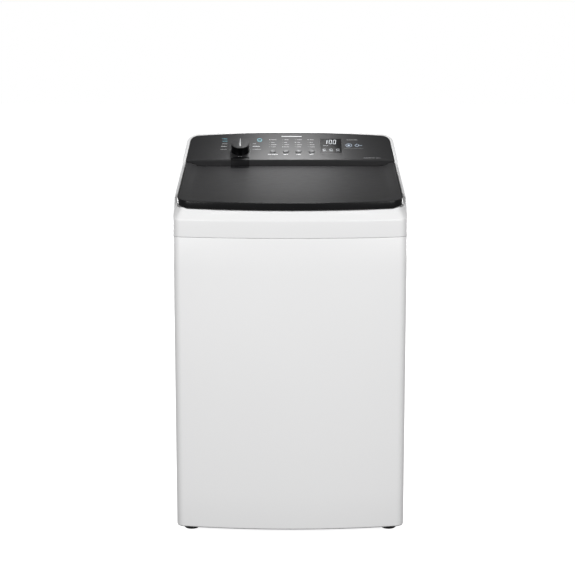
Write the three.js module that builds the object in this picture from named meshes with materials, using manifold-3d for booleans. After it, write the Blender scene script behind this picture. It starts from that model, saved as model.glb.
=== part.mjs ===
// Top load washing machine: pressed-steel cabinet, moulded top cover with a sloped console, glass lid,
// suspended tub with a spinning basket and wash plate, and the belt drive underneath.
// Millimetres, +Z up, front towards -Y. Origin: middle of the footprint, on the floor.
import * as THREE from "three";
import { mergeVertices } from "three/addons/utils/BufferGeometryUtils.js";
import Module from "manifold-3d";

const wasm = await Module();
wasm.setup();

// ---- driving dimensions ----
const HALF_WIDTH = 315;
const FRONT_Y = -330, BACK_Y = 330;
const BOW_RADIUS = 1661;          // plan radius of the bowed front
const CORNER_RADIUS = 25;         // vertical front corners
const CABINET_BOTTOM = 15, CABINET_TOP = 829.7;
const SHEET = 1.0;                // cabinet sheet
const COVER_BOTTOM = 830.3, CREST_Z = 877, DECK_Z = 905, COVER_WALL = 3.5;
const LID_HALF = 305, LID_INSET = 18, LID_CORNER = 40, LID_BACK = 112;
const LID_SIDE_SLOPE = 0.1408, LID_MID_SLOPE = 0.1136, LID_EDGE = 20;
const HINGE_Y = 98, HINGE_Z = 969;
const LIP_Y = 118, LIP_Z = 989, FACE_ANGLE = 27 * Math.PI / 180;
const CONSOLE_BACK_Y = 250, CONSOLE_BOW = 17, CONSOLE_HALF = 305, CONSOLE_BACK_HALF = 297, CONSOLE_CORNER = 28;
const PANEL_THICK = 4;
const KNOB_X = -147, KNOB_V = 47.1, KNOB_R = 26.7, KNOB_H = 27;
const BUTTON_XS = [-51, -12.7, 24.4, 62.7], BUTTON_V = 42.6, BUTTON_R = 7.7;
const DISPLAY_X = 121, DISPLAY_W = 61, DISPLAY_V0 = 36, DISPLAY_V1 = 112;
const TUB_Y = -20, TUB_R = 275, TUB_WALL = 3, TUB_BOTTOM = 300, TUB_TOP = 800;
const BASKET_R = 258, BASKET_WALL = 1.0, BASKET_BOTTOM = 335, BASKET_TOP = 752;
const RING_INNER = 226, RING_TOP = 797;
const OPENING_R = 235, OPENING_BACK = 98;
const ROD_OFFSET = 245, ROD_R = 4;
const MOTOR_Y = 150, DRIVE_PULLEY_R = 70, MOTOR_PULLEY_R = 28;
const FOOT_X = 275, FOOT_FRONT = -262, FOOT_BACK = 295;

// ---- making solids ----
function toSolid(geometry) {
  let g = geometry.index ? geometry.toNonIndexed() : geometry.clone();
  g = new THREE.BufferGeometry().setAttribute("position", g.getAttribute("position"));
  const m = mergeVertices(g, 1e-3), ix = m.index.array, tri = [];
  for (let i = 0; i < ix.length; i += 3) {
    const a = ix[i], b = ix[i + 1], c = ix[i + 2];
    if (a !== b && b !== c && a !== c) tri.push(a, b, c);
  }
  const make = (t) => new wasm.Manifold(new wasm.Mesh({ numProp: 3, vertProperties: m.attributes.position.array, triVerts: new Uint32Array(t) }));
  let s = make(tri);
  if (s.volume() < 0) {
    for (let i = 0; i < tri.length; i += 3) [tri[i + 1], tri[i + 2]] = [tri[i + 2], tri[i + 1]];
    s = make(tri);
  }
  return s;
}
function toGeometry(s) {
  const m = s.getMesh();
  const g = new THREE.BufferGeometry();
  g.setAttribute("position", new THREE.BufferAttribute(new Float32Array(m.vertProperties), 3));
  g.setIndex(new THREE.BufferAttribute(new Uint32Array(m.triVerts), 1));
  g.computeVertexNormals();
  return g;
}
const block = (x0, x1, y0, y1, z0, z1) => toSolid(new THREE.BoxGeometry(x1 - x0, y1 - y0, z1 - z0).translate((x0 + x1) / 2, (y0 + y1) / 2, (z0 + z1) / 2));
const prism = (pts, z0, z1) => toSolid(new THREE.ExtrudeGeometry(new THREE.Shape(pts), { depth: z1 - z0, bevelEnabled: false, steps: 1 }).translate(0, 0, z0));
// a YZ profile extruded along X
const profile = (yz, x0, x1) => toSolid(new THREE.ExtrudeGeometry(new THREE.Shape(yz.map(([y, z]) => new THREE.Vector2(y, z))), { depth: x1 - x0, bevelEnabled: false, steps: 1 })
  .applyMatrix4(new THREE.Matrix4().makeBasis(new THREE.Vector3(0, 1, 0), new THREE.Vector3(0, 0, 1), new THREE.Vector3(1, 0, 0))).translate(x0, 0, 0));
const turned = (rz, seg, x = 0, y = 0) => toSolid(new THREE.LatheGeometry([...rz, rz[0]].map(([r, z]) => new THREE.Vector2(r, z)), seg).rotateX(Math.PI / 2).translate(x, y, 0));
const rod = (r, z0, z1, x, y, seg = 16) => toSolid(new THREE.CylinderGeometry(r, r, z1 - z0, seg).rotateX(Math.PI / 2).translate(x, y, (z0 + z1) / 2));
const rodX = (r, x0, x1, y, z, seg = 12) => toSolid(new THREE.CylinderGeometry(r, r, x1 - x0, seg).rotateZ(Math.PI / 2).translate((x0 + x1) / 2, y, z));
const rodY = (r, y0, y1, x, z, seg = 14) => toSolid(new THREE.CylinderGeometry(r, r, y1 - y0, seg).translate(x, (y0 + y1) / 2, z));
// a closed block over a grid, with its lower and upper faces given as functions of x and y
function field(xs, ys, low, high) {
  const nx = xs.length, ny = ys.length, v = [], t = [];
  for (const f of [low, high]) for (const y of ys) for (const x of xs) v.push(x, y, f(x, y));
  const id = (k, j, i) => k * nx * ny + j * nx + i;
  for (let j = 0; j < ny - 1; j++) for (let i = 0; i < nx - 1; i++) {
    t.push(id(0, j, i), id(0, j + 1, i + 1), id(0, j, i + 1), id(0, j, i), id(0, j + 1, i), id(0, j + 1, i + 1));
    t.push(id(1, j, i), id(1, j, i + 1), id(1, j + 1, i + 1), id(1, j, i), id(1, j + 1, i + 1), id(1, j + 1, i));
  }
  const wall = (a, b) => t.push(id(0, ...a), id(0, ...b), id(1, ...b), id(0, ...a), id(1, ...b), id(1, ...a));
  for (let i = 0; i < nx - 1; i++) { wall([0, i], [0, i + 1]); wall([ny - 1, i + 1], [ny - 1, i]); }
  for (let j = 0; j < ny - 1; j++) { wall([j + 1, 0], [j, 0]); wall([j, nx - 1], [j + 1, nx - 1]); }
  const g = new THREE.BufferGeometry();
  g.setAttribute("position", new THREE.Float32BufferAttribute(v, 3));
  g.setIndex(t);
  return toSolid(g);
}
const flat = (z) => () => z;
const span = (a, b, n) => Array.from({ length: n + 1 }, (_, i) => a + (b - a) * i / n);
const smooth = (a, b, x) => { const t = Math.min(1, Math.max(0, (x - a) / (b - a))); return t * t * (3 - 2 * t); };
const mix = (a, b, t) => a + (b - a) * t;

// outline with a bowed front and rounded front corners; back corners rounded by rb
function bowPlan(half, back, r, inset = 0, rb = 0, n = 12, m = 4) {
  const R = BOW_RADIUS - inset, cy = FRONT_Y + BOW_RADIUS, fx = half - r, fy = cy - Math.sqrt((R - r) ** 2 - fx ** 2);
  const a = Math.atan2(fy - cy, fx), p = [];
  for (let i = 0; i <= m; i++) { const t = a * (m - i) / m; p.push([fx + r * Math.cos(t), fy + r * Math.sin(t)]); }
  p.reverse();                                    // right side down to the front arc
  const right = p;                                // from side (angle 0) ... after reverse: first = side
  const out = [];
  if (rb > 0) for (let i = 0; i <= m; i++) { const t = Math.PI / 2 * (1 - i / m); out.push([half - rb + rb * Math.cos(t), back - rb + rb * Math.sin(t)]); }
  else out.push([half, back]);
  for (const q of right) out.push(q);
  const a0 = a, a1 = -Math.PI - a;
  for (let i = 1; i < n; i++) { const t = mix(a0, a1, i / n); out.push([R * Math.cos(t), cy + R * Math.sin(t)]); }
  for (const q of [...right].reverse()) out.push([-q[0], q[1]]);
  if (rb > 0) for (let i = 0; i <= m; i++) { const t = Math.PI / 2 * (i / m); out.push([-(half - rb + rb * Math.cos(t)), back - rb + rb * Math.sin(t)]); }
  else out.push([-half, back]);
  return out.map(([x, y]) => new THREE.Vector2(x, y));
}
// how far inside the bowed front and the sides a point lies
function depthIn(x, y) {
  const cy = FRONT_Y + BOW_RADIUS, d = BOW_RADIUS - Math.hypot(x, y - cy), s = HALF_WIDTH - Math.abs(x), r = CORNER_RADIUS + 8;
  if (d < r && s < r) return r - Math.hypot(r - d, r - s);
  return Math.min(d, s);
}
// console outline: tapered sides, rounded back corners, bowed back
function consolePlan(grow) {
  const y0 = LIP_Y - 20;
  const r = CONSOLE_CORNER + grow, p = [], hb = CONSOLE_BACK_HALF + grow, backAt = (x) => CONSOLE_BACK_Y + grow - CONSOLE_BOW * (x / CONSOLE_BACK_HALF) ** 2;
  const hw = CONSOLE_HALF + grow, side = (y) => mix(hw, hb, Math.min(1, (y - LIP_Y) / (CONSOLE_BACK_Y - LIP_Y)));
  p.push([side(y0), y0]);
  const cx = hb - r, cyy = backAt(cx) - r;
  for (let i = 0; i <= 4; i++) { const t = mix(0.04, Math.PI / 2 - 0.1, i / 4); p.push([cx + r * Math.cos(t), cyy + r * Math.sin(t)]); }
  for (let i = 1; i < 10; i++) { const x = mix(cx, -cx, i / 10); p.push([x, backAt(x)]); }
  for (let i = 4; i >= 0; i--) { const t = mix(0.04, Math.PI / 2 - 0.1, i / 4); p.push([-(cx + r * Math.cos(t)), cyy + r * Math.sin(t)]); }
  p.push([-side(y0), y0]);
  return p.map(([x, y]) => new THREE.Vector2(x, y));
}

// ---- surfaces of the top ----
const sidePlane = (y) => 928.5 + LID_SIDE_SLOPE * (y + 272);
const midPlane = (y) => 923 + LID_MID_SLOPE * (y + 312);
const lidTop = (x, y) => mix(midPlane(y), sidePlane(y), smooth(262, 300, Math.abs(x)));
const lidBottom = (x, y) => midPlane(y) - LID_EDGE;
const pocketFloor = (x, y) => lidBottom(x, y) - 2.2 - 1.6 * smooth(55, 80, y);
const facePlane = (y) => LIP_Z + (y - LIP_Y) * Math.tan(FACE_ANGLE);
const rimZ = (y) => y > -272 ? sidePlane(y) - 1.5 : mix(900, 927, smooth(-314, -272, y));
const crestZ = (y) => mix(CREST_Z, sidePlane(y) - 8, smooth(-302, -210, y));
const coverTop = (x, y) => {
  if (y > LIP_Y + 1.5) return DECK_Z;
  return Math.min(rimZ(y), crestZ(y) + 25 / 18 * Math.max(0, depthIn(x, y) - 1.5));
};

// ---- the model tree ----
const machine = new THREE.Group();
const mat = (color, roughness = 0.5, metalness = 0) => new THREE.MeshStandardMaterial({ color, roughness, metalness });
const WHITE = () => mat(0xe9eaeb, 0.35), COVER = () => mat(0xf1f2f3, 0.4), GREY = () => mat(0x55585b, 0.4, 0.2), BLACK = () => mat(0x141516, 0.25);
const STEEL = () => mat(0xb9bcc0, 0.35, 1), ZINC = () => mat(0x9fa4a8, 0.5, 0.9), PLASTIC = () => mat(0xd6d8da, 0.6), DARK = () => mat(0x2b2d2f, 0.6), RUBBER = () => mat(0x1a1a1a, 0.85);
function add(name, s, material, parent = machine) {
  const mesh = new THREE.Mesh(toGeometry(s), material);
  mesh.name = name;
  parent.add(mesh);
  return mesh;
}

// ================= cabinet =================
{
  const out = prism(bowPlan(HALF_WIDTH, BACK_Y, CORNER_RADIUS), CABINET_BOTTOM, CABINET_TOP);
  const inn = prism(bowPlan(HALF_WIDTH - SHEET, BACK_Y + 40, CORNER_RADIUS - SHEET, SHEET), CABINET_BOTTOM - 1, CABINET_TOP + 1);
  let wrap = out.subtract(inn);
  // corner gussets that carry the suspension rods
  const room = prism(bowPlan(HALF_WIDTH - 0.4, 322, CORNER_RADIUS, 0.4), 790, 793);
  for (const sx of [-1, 1]) for (const sy of [-1, 1]) {
    const cx = sx * ROD_OFFSET, cy = TUB_Y + sy * ROD_OFFSET, far = sy > 0 ? 322 : -400;
    const tri = [new THREE.Vector2(sx * 400, far), new THREE.Vector2(cx - sx * 26, far), new THREE.Vector2(cx - sx * 26, cy - sy * 2), new THREE.Vector2(cx - sx * 2, cy - sy * 26), new THREE.Vector2(sx * 400, cy - sy * 26)];
    wrap = wrap.add(prism(tri, 789, 794).intersect(room).subtract(rod(ROD_R + 1.5, 780, 800, cx, cy)));
  }
  add("cabinet_wrap", wrap, WHITE());
}
{
  let p = block(-313.4, 313.4, 327.2, 328.4, 15.6, 829.4);
  p = p.subtract(rodY(16.5, 320, 335, 205, 95)).subtract(rodY(9.5, 320, 335, -225, 770));
  // service opening edge: a shallow raised frame
  p = p.add(block(-200, 200, 325, 327.6, 380, 384)).add(block(-200, 200, 325, 327.6, 716, 720)).add(block(-200, -196, 325, 327.6, 380, 720)).add(block(196, 200, 325, 327.6, 380, 720));
  add("rear_panel", p, ZINC());
}
{
  const g = SHEET + 0.4;
  const out = prism(bowPlan(HALF_WIDTH - g, 326.3, CORNER_RADIUS - g, g), 15.4, 60);
  const inn = prism(bowPlan(HALF_WIDTH - 24, 304, 30, 24, 20), 10, 70);
  let base = out.subtract(inn);
  for (const sx of [-1, 1]) for (const y of [FOOT_FRONT, FOOT_BACK]) {
    const pad = block(sx > 0 ? 245 : -312, sx > 0 ? 312 : -245, y - 32, y + 32, 15.4, 40).intersect(out);
    base = base.add(pad);
  }
  for (const sx of [-1, 1]) for (const y of [FOOT_FRONT, FOOT_BACK]) base = base.subtract(rod(6.4, 5, 70, sx * FOOT_X, y));
  add("base_frame", base, DARK());
}
for (const [n, x, y] of [["front_left", -FOOT_X, FOOT_FRONT], ["front_right", FOOT_X, FOOT_FRONT], ["rear_left", -FOOT_X, FOOT_BACK], ["rear_right", FOOT_X, FOOT_BACK]])
  add("foot_" + n, turned([[0, 0], [20, 0], [22, 2], [22, 9], [19, 12], [6, 13], [6, 52], [0, 52]], 16, x, y), RUBBER());

// ---- top cover ----
const xsTop = [-316, -307, -296, -270, -180, -90, 0, 90, 180, 270, 296, 307, 316];
const ysTop = [-332, -320, -308, -294, -282, -268, -248, -224, -200, LIP_Y + 1, LIP_Y + 2, 332];
const openingPlan = (g) => {
  const p = [], r = OPENING_R + g, back = OPENING_BACK + g, a = Math.asin((back - TUB_Y) / r), n = 32;
  for (let i = 0; i <= n; i++) { const t = mix(Math.PI - a, 2 * Math.PI + a, i / n); p.push(new THREE.Vector2(r * Math.cos(t), TUB_Y + r * Math.sin(t))); }
  return p;
};
const lidPlan = (g) => bowPlan(LID_HALF + g, LID_BACK + (g > 0 ? 8 : g), LID_CORNER + g, LID_INSET - g, g > 0 ? 0 : 3, 12, 5);
{
  let c = prism(bowPlan(HALF_WIDTH, BACK_Y, CORNER_RADIUS), COVER_BOTTOM, 1100).intersect(field(xsTop, ysTop, flat(820), coverTop));
  // console housing wall
  const ring = prism(consolePlan(9), 890, 1100).subtract(prism(consolePlan(0.4), 880, 1110));
  c = c.add(ring.intersect(field([-330, 330], [LIP_Y - 3, 300], flat(DECK_Z - 2), (x, y) => facePlane(y) - 0.8)));
  // pocket for the lid
  c = c.subtract(prism(lidPlan(0.8), 860, 1100).intersect(field([-320, 320], [-340, 55, 67, 80, LIP_Y + 5], pocketFloor, flat(1090))));
  // hollow underneath
  const under = (x, y) => (y > LIP_Y - 2 ? DECK_Z : Math.min(pocketFloor(x, y), coverTop(x, y))) - COVER_WALL;
  const ysUnder = [-332, -320, -308, -294, -280, -262, 55, 80, LIP_Y - 3, LIP_Y - 1.5, 336];
  c = c.subtract(prism(bowPlan(HALF_WIDTH - COVER_WALL, BACK_Y - COVER_WALL, CORNER_RADIUS - COVER_WALL, COVER_WALL), 820, 1000).intersect(field(xsTop, ysUnder, flat(815), under)));
  // collar round the drum opening
  c = c.add(prism(openingPlan(3), 858, 1000).intersect(field([-320, 320], [-340, 200], flat(850), (x, y) => pocketFloor(x, y) - 1)));
  c = c.subtract(prism(openingPlan(0), 800, 1100));
  // drawer mouth, wire way, tap spigot holes, rear cover opening, hinge pin sockets, lock slot
  c = c.subtract(block(-166, -24, 90, 104, 865, 898.5));
  c = c.subtract(block(60, 110, 180, 220, 895, 910));
  for (const x of [170, 230]) c = c.subtract(rod(13.6, 890, 920, x, 300));
  c = c.subtract(block(-270, 270, 215, 300, 915, 1020));
  for (const s of [-1, 1]) c = c.subtract(rodX(3.8, s > 0 ? 303 : -311, s > 0 ? 311 : -303, HINGE_Y, HINGE_Z));
  c = c.subtract(block(252.5, 281.5, -206.5, -183.5, 890, 930));
  add("top_cover", c, COVER());
}
for (const [n, s] of [["left", -1], ["right", 1]])
  add("hinge_pin_" + n, rodX(3.5, s > 0 ? 292 : -310.7, s > 0 ? 310.7 : -292, HINGE_Y, HINGE_Z), STEEL());

// ---- console, built in its own sloped frame: x across, y up the slope, z out of the face ----
const face = new THREE.Group();
face.position.set(0, LIP_Y, LIP_Z);
face.rotation.x = FACE_ANGLE;
machine.add(face);
const faceMatrix = new THREE.Matrix4().makeRotationX(FACE_ANGLE).setPosition(0, LIP_Y, LIP_Z);
const onFace = (g) => toSolid(g.clone().applyMatrix4(faceMatrix));
const faceDrum = (x, v, r, n0, n1, seg = 16) => onFace(new THREE.CylinderGeometry(r, r, n1 - n0, seg).rotateX(Math.PI / 2).translate(x, v, (n0 + n1) / 2));
const faceBlock = (x0, x1, v0, v1, n0, n1) => onFace(new THREE.BoxGeometry(x1 - x0, v1 - v0, n1 - n0).translate((x0 + x1) / 2, (v0 + v1) / 2, (n0 + n1) / 2));
const cut = 26.9;
const notchPlan = (g) => {                        // arch-topped recess below the dial
  const p = [[KNOB_X + cut + g, -30], [KNOB_X + cut + g, 9]];
  for (let i = 1; i < 8; i++) { const t = Math.PI * i / 8; p.push([KNOB_X + (cut + g) * Math.cos(t), 9 + (7.5 + g) * Math.sin(t)]); }
  p.push([KNOB_X - cut - g, 9], [KNOB_X - cut - g, -30]);
  return p.map(([x, y]) => new THREE.Vector2(x, y));
};
const facePrism = (pts, n0, n1) => onFace(new THREE.ExtrudeGeometry(new THREE.Shape(pts), { depth: n1 - n0, bevelEnabled: false, steps: 1 }).translate(0, 0, n0));
const riser = profile([[LIP_Y, LIP_Z - 0.2], [LIP_Y + 2.2, 957], [LIP_Y + 5.7, 957], [LIP_Y + 4.2, LIP_Z - 1.5]], -305.5, 305.5);
{
  let p = prism(consolePlan(0), 940, 1100).intersect(field([-320, 320], [LIP_Y, 300], (x, y) => facePlane(y) - PANEL_THICK, (x, y) => facePlane(y)));
  p = p.add(riser.intersect(prism(consolePlan(0), 900, 1100)));
  p = p.subtract(facePrism(notchPlan(0.35), -60, 20));
  p = p.subtract(faceDrum(KNOB_X, KNOB_V, 5.2, -20, 20));
  for (const x of BUTTON_XS) p = p.subtract(faceDrum(x, BUTTON_V, BUTTON_R + 0.35, -20, 20));
  p = p.subtract(faceBlock(DISPLAY_X - DISPLAY_W / 2 - 0.35, DISPLAY_X + DISPLAY_W / 2 + 0.35, DISPLAY_V0 - 0.35, DISPLAY_V1 + 0.35, -20, 20));
  p = p.subtract(block(-400, 400, 60, 300, 800, 956));
  add("console_panel", p, GREY());
}
{
  // gloss recess that follows the notch: sunk floor in the face and a sunk front wall
  let r = facePrism(notchPlan(0), -PANEL_THICK - 2, 0).intersect(block(-200, -100, LIP_Y + 1.2, 200, 900, 1100));
  r = r.add(profile([[LIP_Y + 1.4, LIP_Z - 1.5], [LIP_Y + 3.4, 957.5], [LIP_Y + 6.5, 957.5], [LIP_Y + 5.2, LIP_Z - 2]], KNOB_X - cut, KNOB_X + cut));
  r = r.subtract(facePrism(notchPlan(-3.5), -2.2, 5));
  add("dial_recess", r, BLACK());
}
{
  const w = faceBlock(DISPLAY_X - DISPLAY_W / 2, DISPLAY_X + DISPLAY_W / 2, DISPLAY_V0, DISPLAY_V1, -2.6, 0.2);
  add("display_window", w, mat(0x07080a, 0.1));
}
{
  let b = faceBlock(-190, 215, 14, 118, -24, -22.4);
  b = b.add(faceBlock(DISPLAY_X - 26, DISPLAY_X + 26, DISPLAY_V0 + 4, DISPLAY_V1 - 4, -22.6, -6));
  for (const x of BUTTON_XS) b = b.add(faceBlock(x - 5, x + 5, BUTTON_V - 5, BUTTON_V + 5, -22.6, -16));
  b = b.add(faceDrum(KNOB_X, KNOB_V, 10, -22.6, -14));
  b = b.add(faceBlock(-175, -100, 80, 112, -22.6, -12)).add(faceBlock(90, 150, 18, 34, -42, -23.6));
  add("control_board", b, mat(0x1f5a36, 0.6));
}
{
  let p = block(-269.6, 269.6, 225, 262, 915.4, 1019.6).intersect(prism(consolePlan(8.6), 900, 1100)).subtract(prism(consolePlan(5.4), 890, 1100));
  add("console_rear_cover", p, COVER());
}
// dial
{
  let k = faceDrum(KNOB_X, KNOB_V, KNOB_R, 0.8, KNOB_H, 32);
  k = k.subtract(faceDrum(KNOB_X, KNOB_V, KNOB_R - 2.5, -1, KNOB_H - 4, 20));
  k = k.add(faceDrum(KNOB_X, KNOB_V, 4, -13.5, KNOB_H - 3, 12));
  add("dial_knob", k, BLACK());
}
BUTTON_XS.forEach((x, i) => {
  let b = faceDrum(x, BUTTON_V, BUTTON_R, -2, 1.6, 20).add(faceDrum(x, BUTTON_V, 3, -13.2, -1, 8));
  add("option_button_" + (i + 1), b, GREY());
});

// ================= lid =================
{
  const ring = prism(lidPlan(0), 860, 1100).subtract(prism(bowPlan(LID_HALF - 34, 78, 30, 52, 30, 12, 4), 850, 1110));
  const xs = [-306, -300, -287, -275, -262, 262, 275, 287, 300, 306], ys = [-314, -100, 118];
  let f = ring.intersect(field(xs, ys, lidBottom, (x, y) => lidTop(x, y) - 4.2));
  // outer rim that frames the glass
  f = f.add(prism(lidPlan(0), 860, 1100).subtract(prism(bowPlan(LID_HALF - 3, LID_BACK - 3, LID_CORNER - 3, LID_INSET + 3, 3, 12, 5), 850, 1110)).intersect(field(xs, ys, (x, y) => lidTop(x, y) - 4.6, (x, y) => lidTop(x, y) - 0.4)));
  for (const s of [-1, 1]) f = f.subtract(rodX(3.85, s > 0 ? 291 : -306, s > 0 ? 306 : -291, HINGE_Y, HINGE_Z));
  f = f.subtract(block(KNOB_X - cut - 0.4, KNOB_X + cut + 0.4, 83.6, 130, 900, 1100));
  // slot for the lock bolt, and the chamfer that clears the riser as the lid turns
  f = f.subtract(block(262, 276, -200, -190, 880, lidTop(270, -195) - 7.5));
  f = f.subtract(profile([[LID_BACK + 1, 930], [LID_BACK - 13, 930], [LID_BACK - 13, 948], [LID_BACK + 1, 957]], -320, 320));
  add("lid_frame", f, mat(0x1c1d1e, 0.3));
  let g = prism(bowPlan(LID_HALF - 3.4, LID_BACK - 3.4, LID_CORNER - 3.4, LID_INSET + 3.4, 3, 12, 5), 860, 1100).intersect(field(xs, ys, (x, y) => lidTop(x, y) - 3.9, lidTop));
  g = g.subtract(block(KNOB_X - cut - 0.4, KNOB_X + cut + 0.4, 83.6, 130, 900, 1100));
  add("lid_glass", g, GREY());
  let l = prism(bowPlan(LID_HALF - 34.4, 77.6, 29.6, 52.4, 29.6, 12, 4), 860, 1100).intersect(field([-320, 320], [-340, 200], (x, y) => lidBottom(x, y) + 2, (x, y) => midPlane(y) - 4.4));
  l = l.subtract(prism(bowPlan(LID_HALF - 50, 62, 22, 68, 22, 12, 4), 860, 1100).intersect(field([-320, 320], [-340, 200], (x, y) => lidBottom(x, y) - 5, (x, y) => midPlane(y) - 7)));
  l = l.subtract(block(260.5, 290, -202, -188, 880, 960));   // relief round the lock bolt
  add("lid_liner", l, DARK());
  const trimTop = (x, y) => lidTop(x, y) - 1.2;
  let t = block(KNOB_X - cut, KNOB_X + cut, 84, LID_BACK, 900, 1100).intersect(field([-320, 320], [60, 140], (x, y) => lidBottom(x, y) + 0.5, trimTop));
  t = t.subtract(profile([[LID_BACK + 1, 930], [LID_BACK - 13, 930], [LID_BACK - 13, 949], [LID_BACK + 1, 958]], -320, 320));
  add("lid_notch_trim", t, BLACK());
}

// ---- lid lock: housing under the pocket, bolt that rises into the lid ----
{
  let h = block(253, 281, -206, -184, 868, 911.6).subtract(block(263.6, 274.4, -199.4, -190.6, 880, 920));
  add("lid_lock_housing", h, DARK());
  add("lock_bolt", block(264, 274, -199, -191, 884, 911), STEEL());
}

// ================= dispenser =================
{
  let h = block(-170, -20, 104.6, 205, 862, 901).subtract(block(-166, -24, 100, 200, 865, 898.5));
  h = h.subtract(block(-150, -120, 150, 190, 850, 870));
  add("dispenser_housing", h, COVER());
  let d = block(-165.4, -24.6, 95, 199, 865.6, 897.6).subtract(block(-162, -98, 99, 195, 869, 905)).subtract(block(-94, -28, 99, 195, 869, 905));
  d = d.subtract(block(-125, -65, 94, 97, 880, 892));
  add("detergent_drawer", d, mat(0xdfe6ea, 0.35));
}
// ================= water inlet, drain outlet, cord gland =================
{
  let v = block(150, 250, 280, 320, 862, 900.5);
  for (const x of [170, 230]) v = v.add(rod(13, 895, 930, x, 300)).subtract(rod(9, 912, 940, x, 300));
  add("inlet_valve", v, mat(0xdadada, 0.5));
  let o = rodY(15.5, 285, 329.6, 205, 95).add(rodY(22, 316, 326.3, 205, 95)).subtract(rodY(12, 280, 335, 205, 95));
  add("drain_outlet", o, DARK());
  let g = rodY(9, 310, 329, -225, 770).add(rodY(14, 328.7, 329.9, -225, 770)).add(rodY(13, 316, 326.4, -225, 770)).subtract(rodY(4.5, 300, 340, -225, 770));
  add("cord_gland", g, DARK());
}

// ================= suspension =================
const corners = [["front_left", -1, -1], ["front_right", 1, -1], ["rear_left", -1, 1], ["rear_right", 1, 1]];
for (const [n, sx, sy] of corners) {
  const x = sx * ROD_OFFSET, y = TUB_Y + sy * ROD_OFFSET;
  add("suspension_rod_" + n, turned([[0, 236], [14, 236], [14, 241], [ROD_R, 241], [ROD_R, 794.4], [11, 794.4], [11, 800], [6, 806], [0, 806]], 10, x, y), STEEL());
  add("damper_cup_" + n, turned([[19, 214], [22, 214], [22, 322], [30, 322], [30, 325.6], [6.5, 325.6], [6.5, 319], [19, 319]], 14, x, y), PLASTIC());
}

// ================= tub =================
{
  const t = [[40, TUB_BOTTOM], [TUB_R - 20, TUB_BOTTOM], [TUB_R, TUB_BOTTOM + 20], [TUB_R, TUB_TOP], [TUB_R - TUB_WALL, TUB_TOP], [TUB_R - TUB_WALL, TUB_BOTTOM + 21.5], [TUB_R - 21.5, TUB_BOTTOM + TUB_WALL], [40, TUB_BOTTOM + TUB_WALL]];
  let tub = turned(t, 40, 0, TUB_Y);
  for (const [, sx, sy] of corners) {
    const x = sx * ROD_OFFSET, y = TUB_Y + sy * ROD_OFFSET, k = 178;
    const arm = [[x + sx * 16, y], [x, y + sy * 16], [sx * k - sx * 16, TUB_Y + sy * k + sy * 16], [sx * k + sx * 16, TUB_Y + sy * k - sy * 16]].map(([a, b]) => new THREE.Vector2(a, b));
    tub = tub.add(prism(arm, 326, 345).add(rod(24, 326, 334, x, y, 14)).subtract(rod(8, 320, 350, x, y, 12)).subtract(rod(TUB_R - TUB_WALL / 2, 310, 360, 0, TUB_Y, 40)));
  }
  // sump and overflow boss
  tub = tub.add(rod(22, 272, 301, 150, -140, 14)).subtract(rod(17, 260, 310, 150, -140, 14));
  tub = tub.add(rod(16, 262, 301, -150, -140, 12)).subtract(rod(4, 250, 310, -150, -140, 8));
  add("outer_tub", tub, PLASTIC());
}
add("tub_ring", turned([[236, 800.4], [279, 800.4], [279, 792], [282, 792], [282, 806], [250, 812], [236, 812]], 40, 0, TUB_Y), PLASTIC());
{
  let p = block(-130, 130, -200, 225, 280, 284).add(block(-240, -128, -60, 20, 280, 284)).add(block(128, 240, -60, 20, 280, 284));
  p = p.subtract(rod(45, 270, 290, 0, TUB_Y)).subtract(rod(28, 270, 290, 150, -140)).subtract(rod(26, 270, 290, -150, -140));
  // raised seats that bolt up to the tub floor
  for (const x of [-225, 225]) p = p.add(rod(10, 283, 299.6, x, TUB_Y, 16));
  for (const y of [-190, 160]) p = p.add(rod(10, 283, 299.6, 0, y, 16));
  add("mount_plate", p, ZINC());
}
add("gearcase", turned([[22, 182], [58, 182], [62, 190], [62, 262], [80, 270], [80, 279.6], [44, 279.6], [44, 270], [22, 262]], 24, 0, TUB_Y), mat(0x8c9094, 0.55, 0.8));
add("bearing_upper", turned([[20.4, 284.6], [38, 284.6], [38, 302.6], [20.4, 302.6]], 20, 0, TUB_Y), STEEL());
add("bearing_lower", turned([[20.4, 167], [36, 167], [36, 181.6], [20.4, 181.6]], 20, 0, TUB_Y), STEEL());
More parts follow.
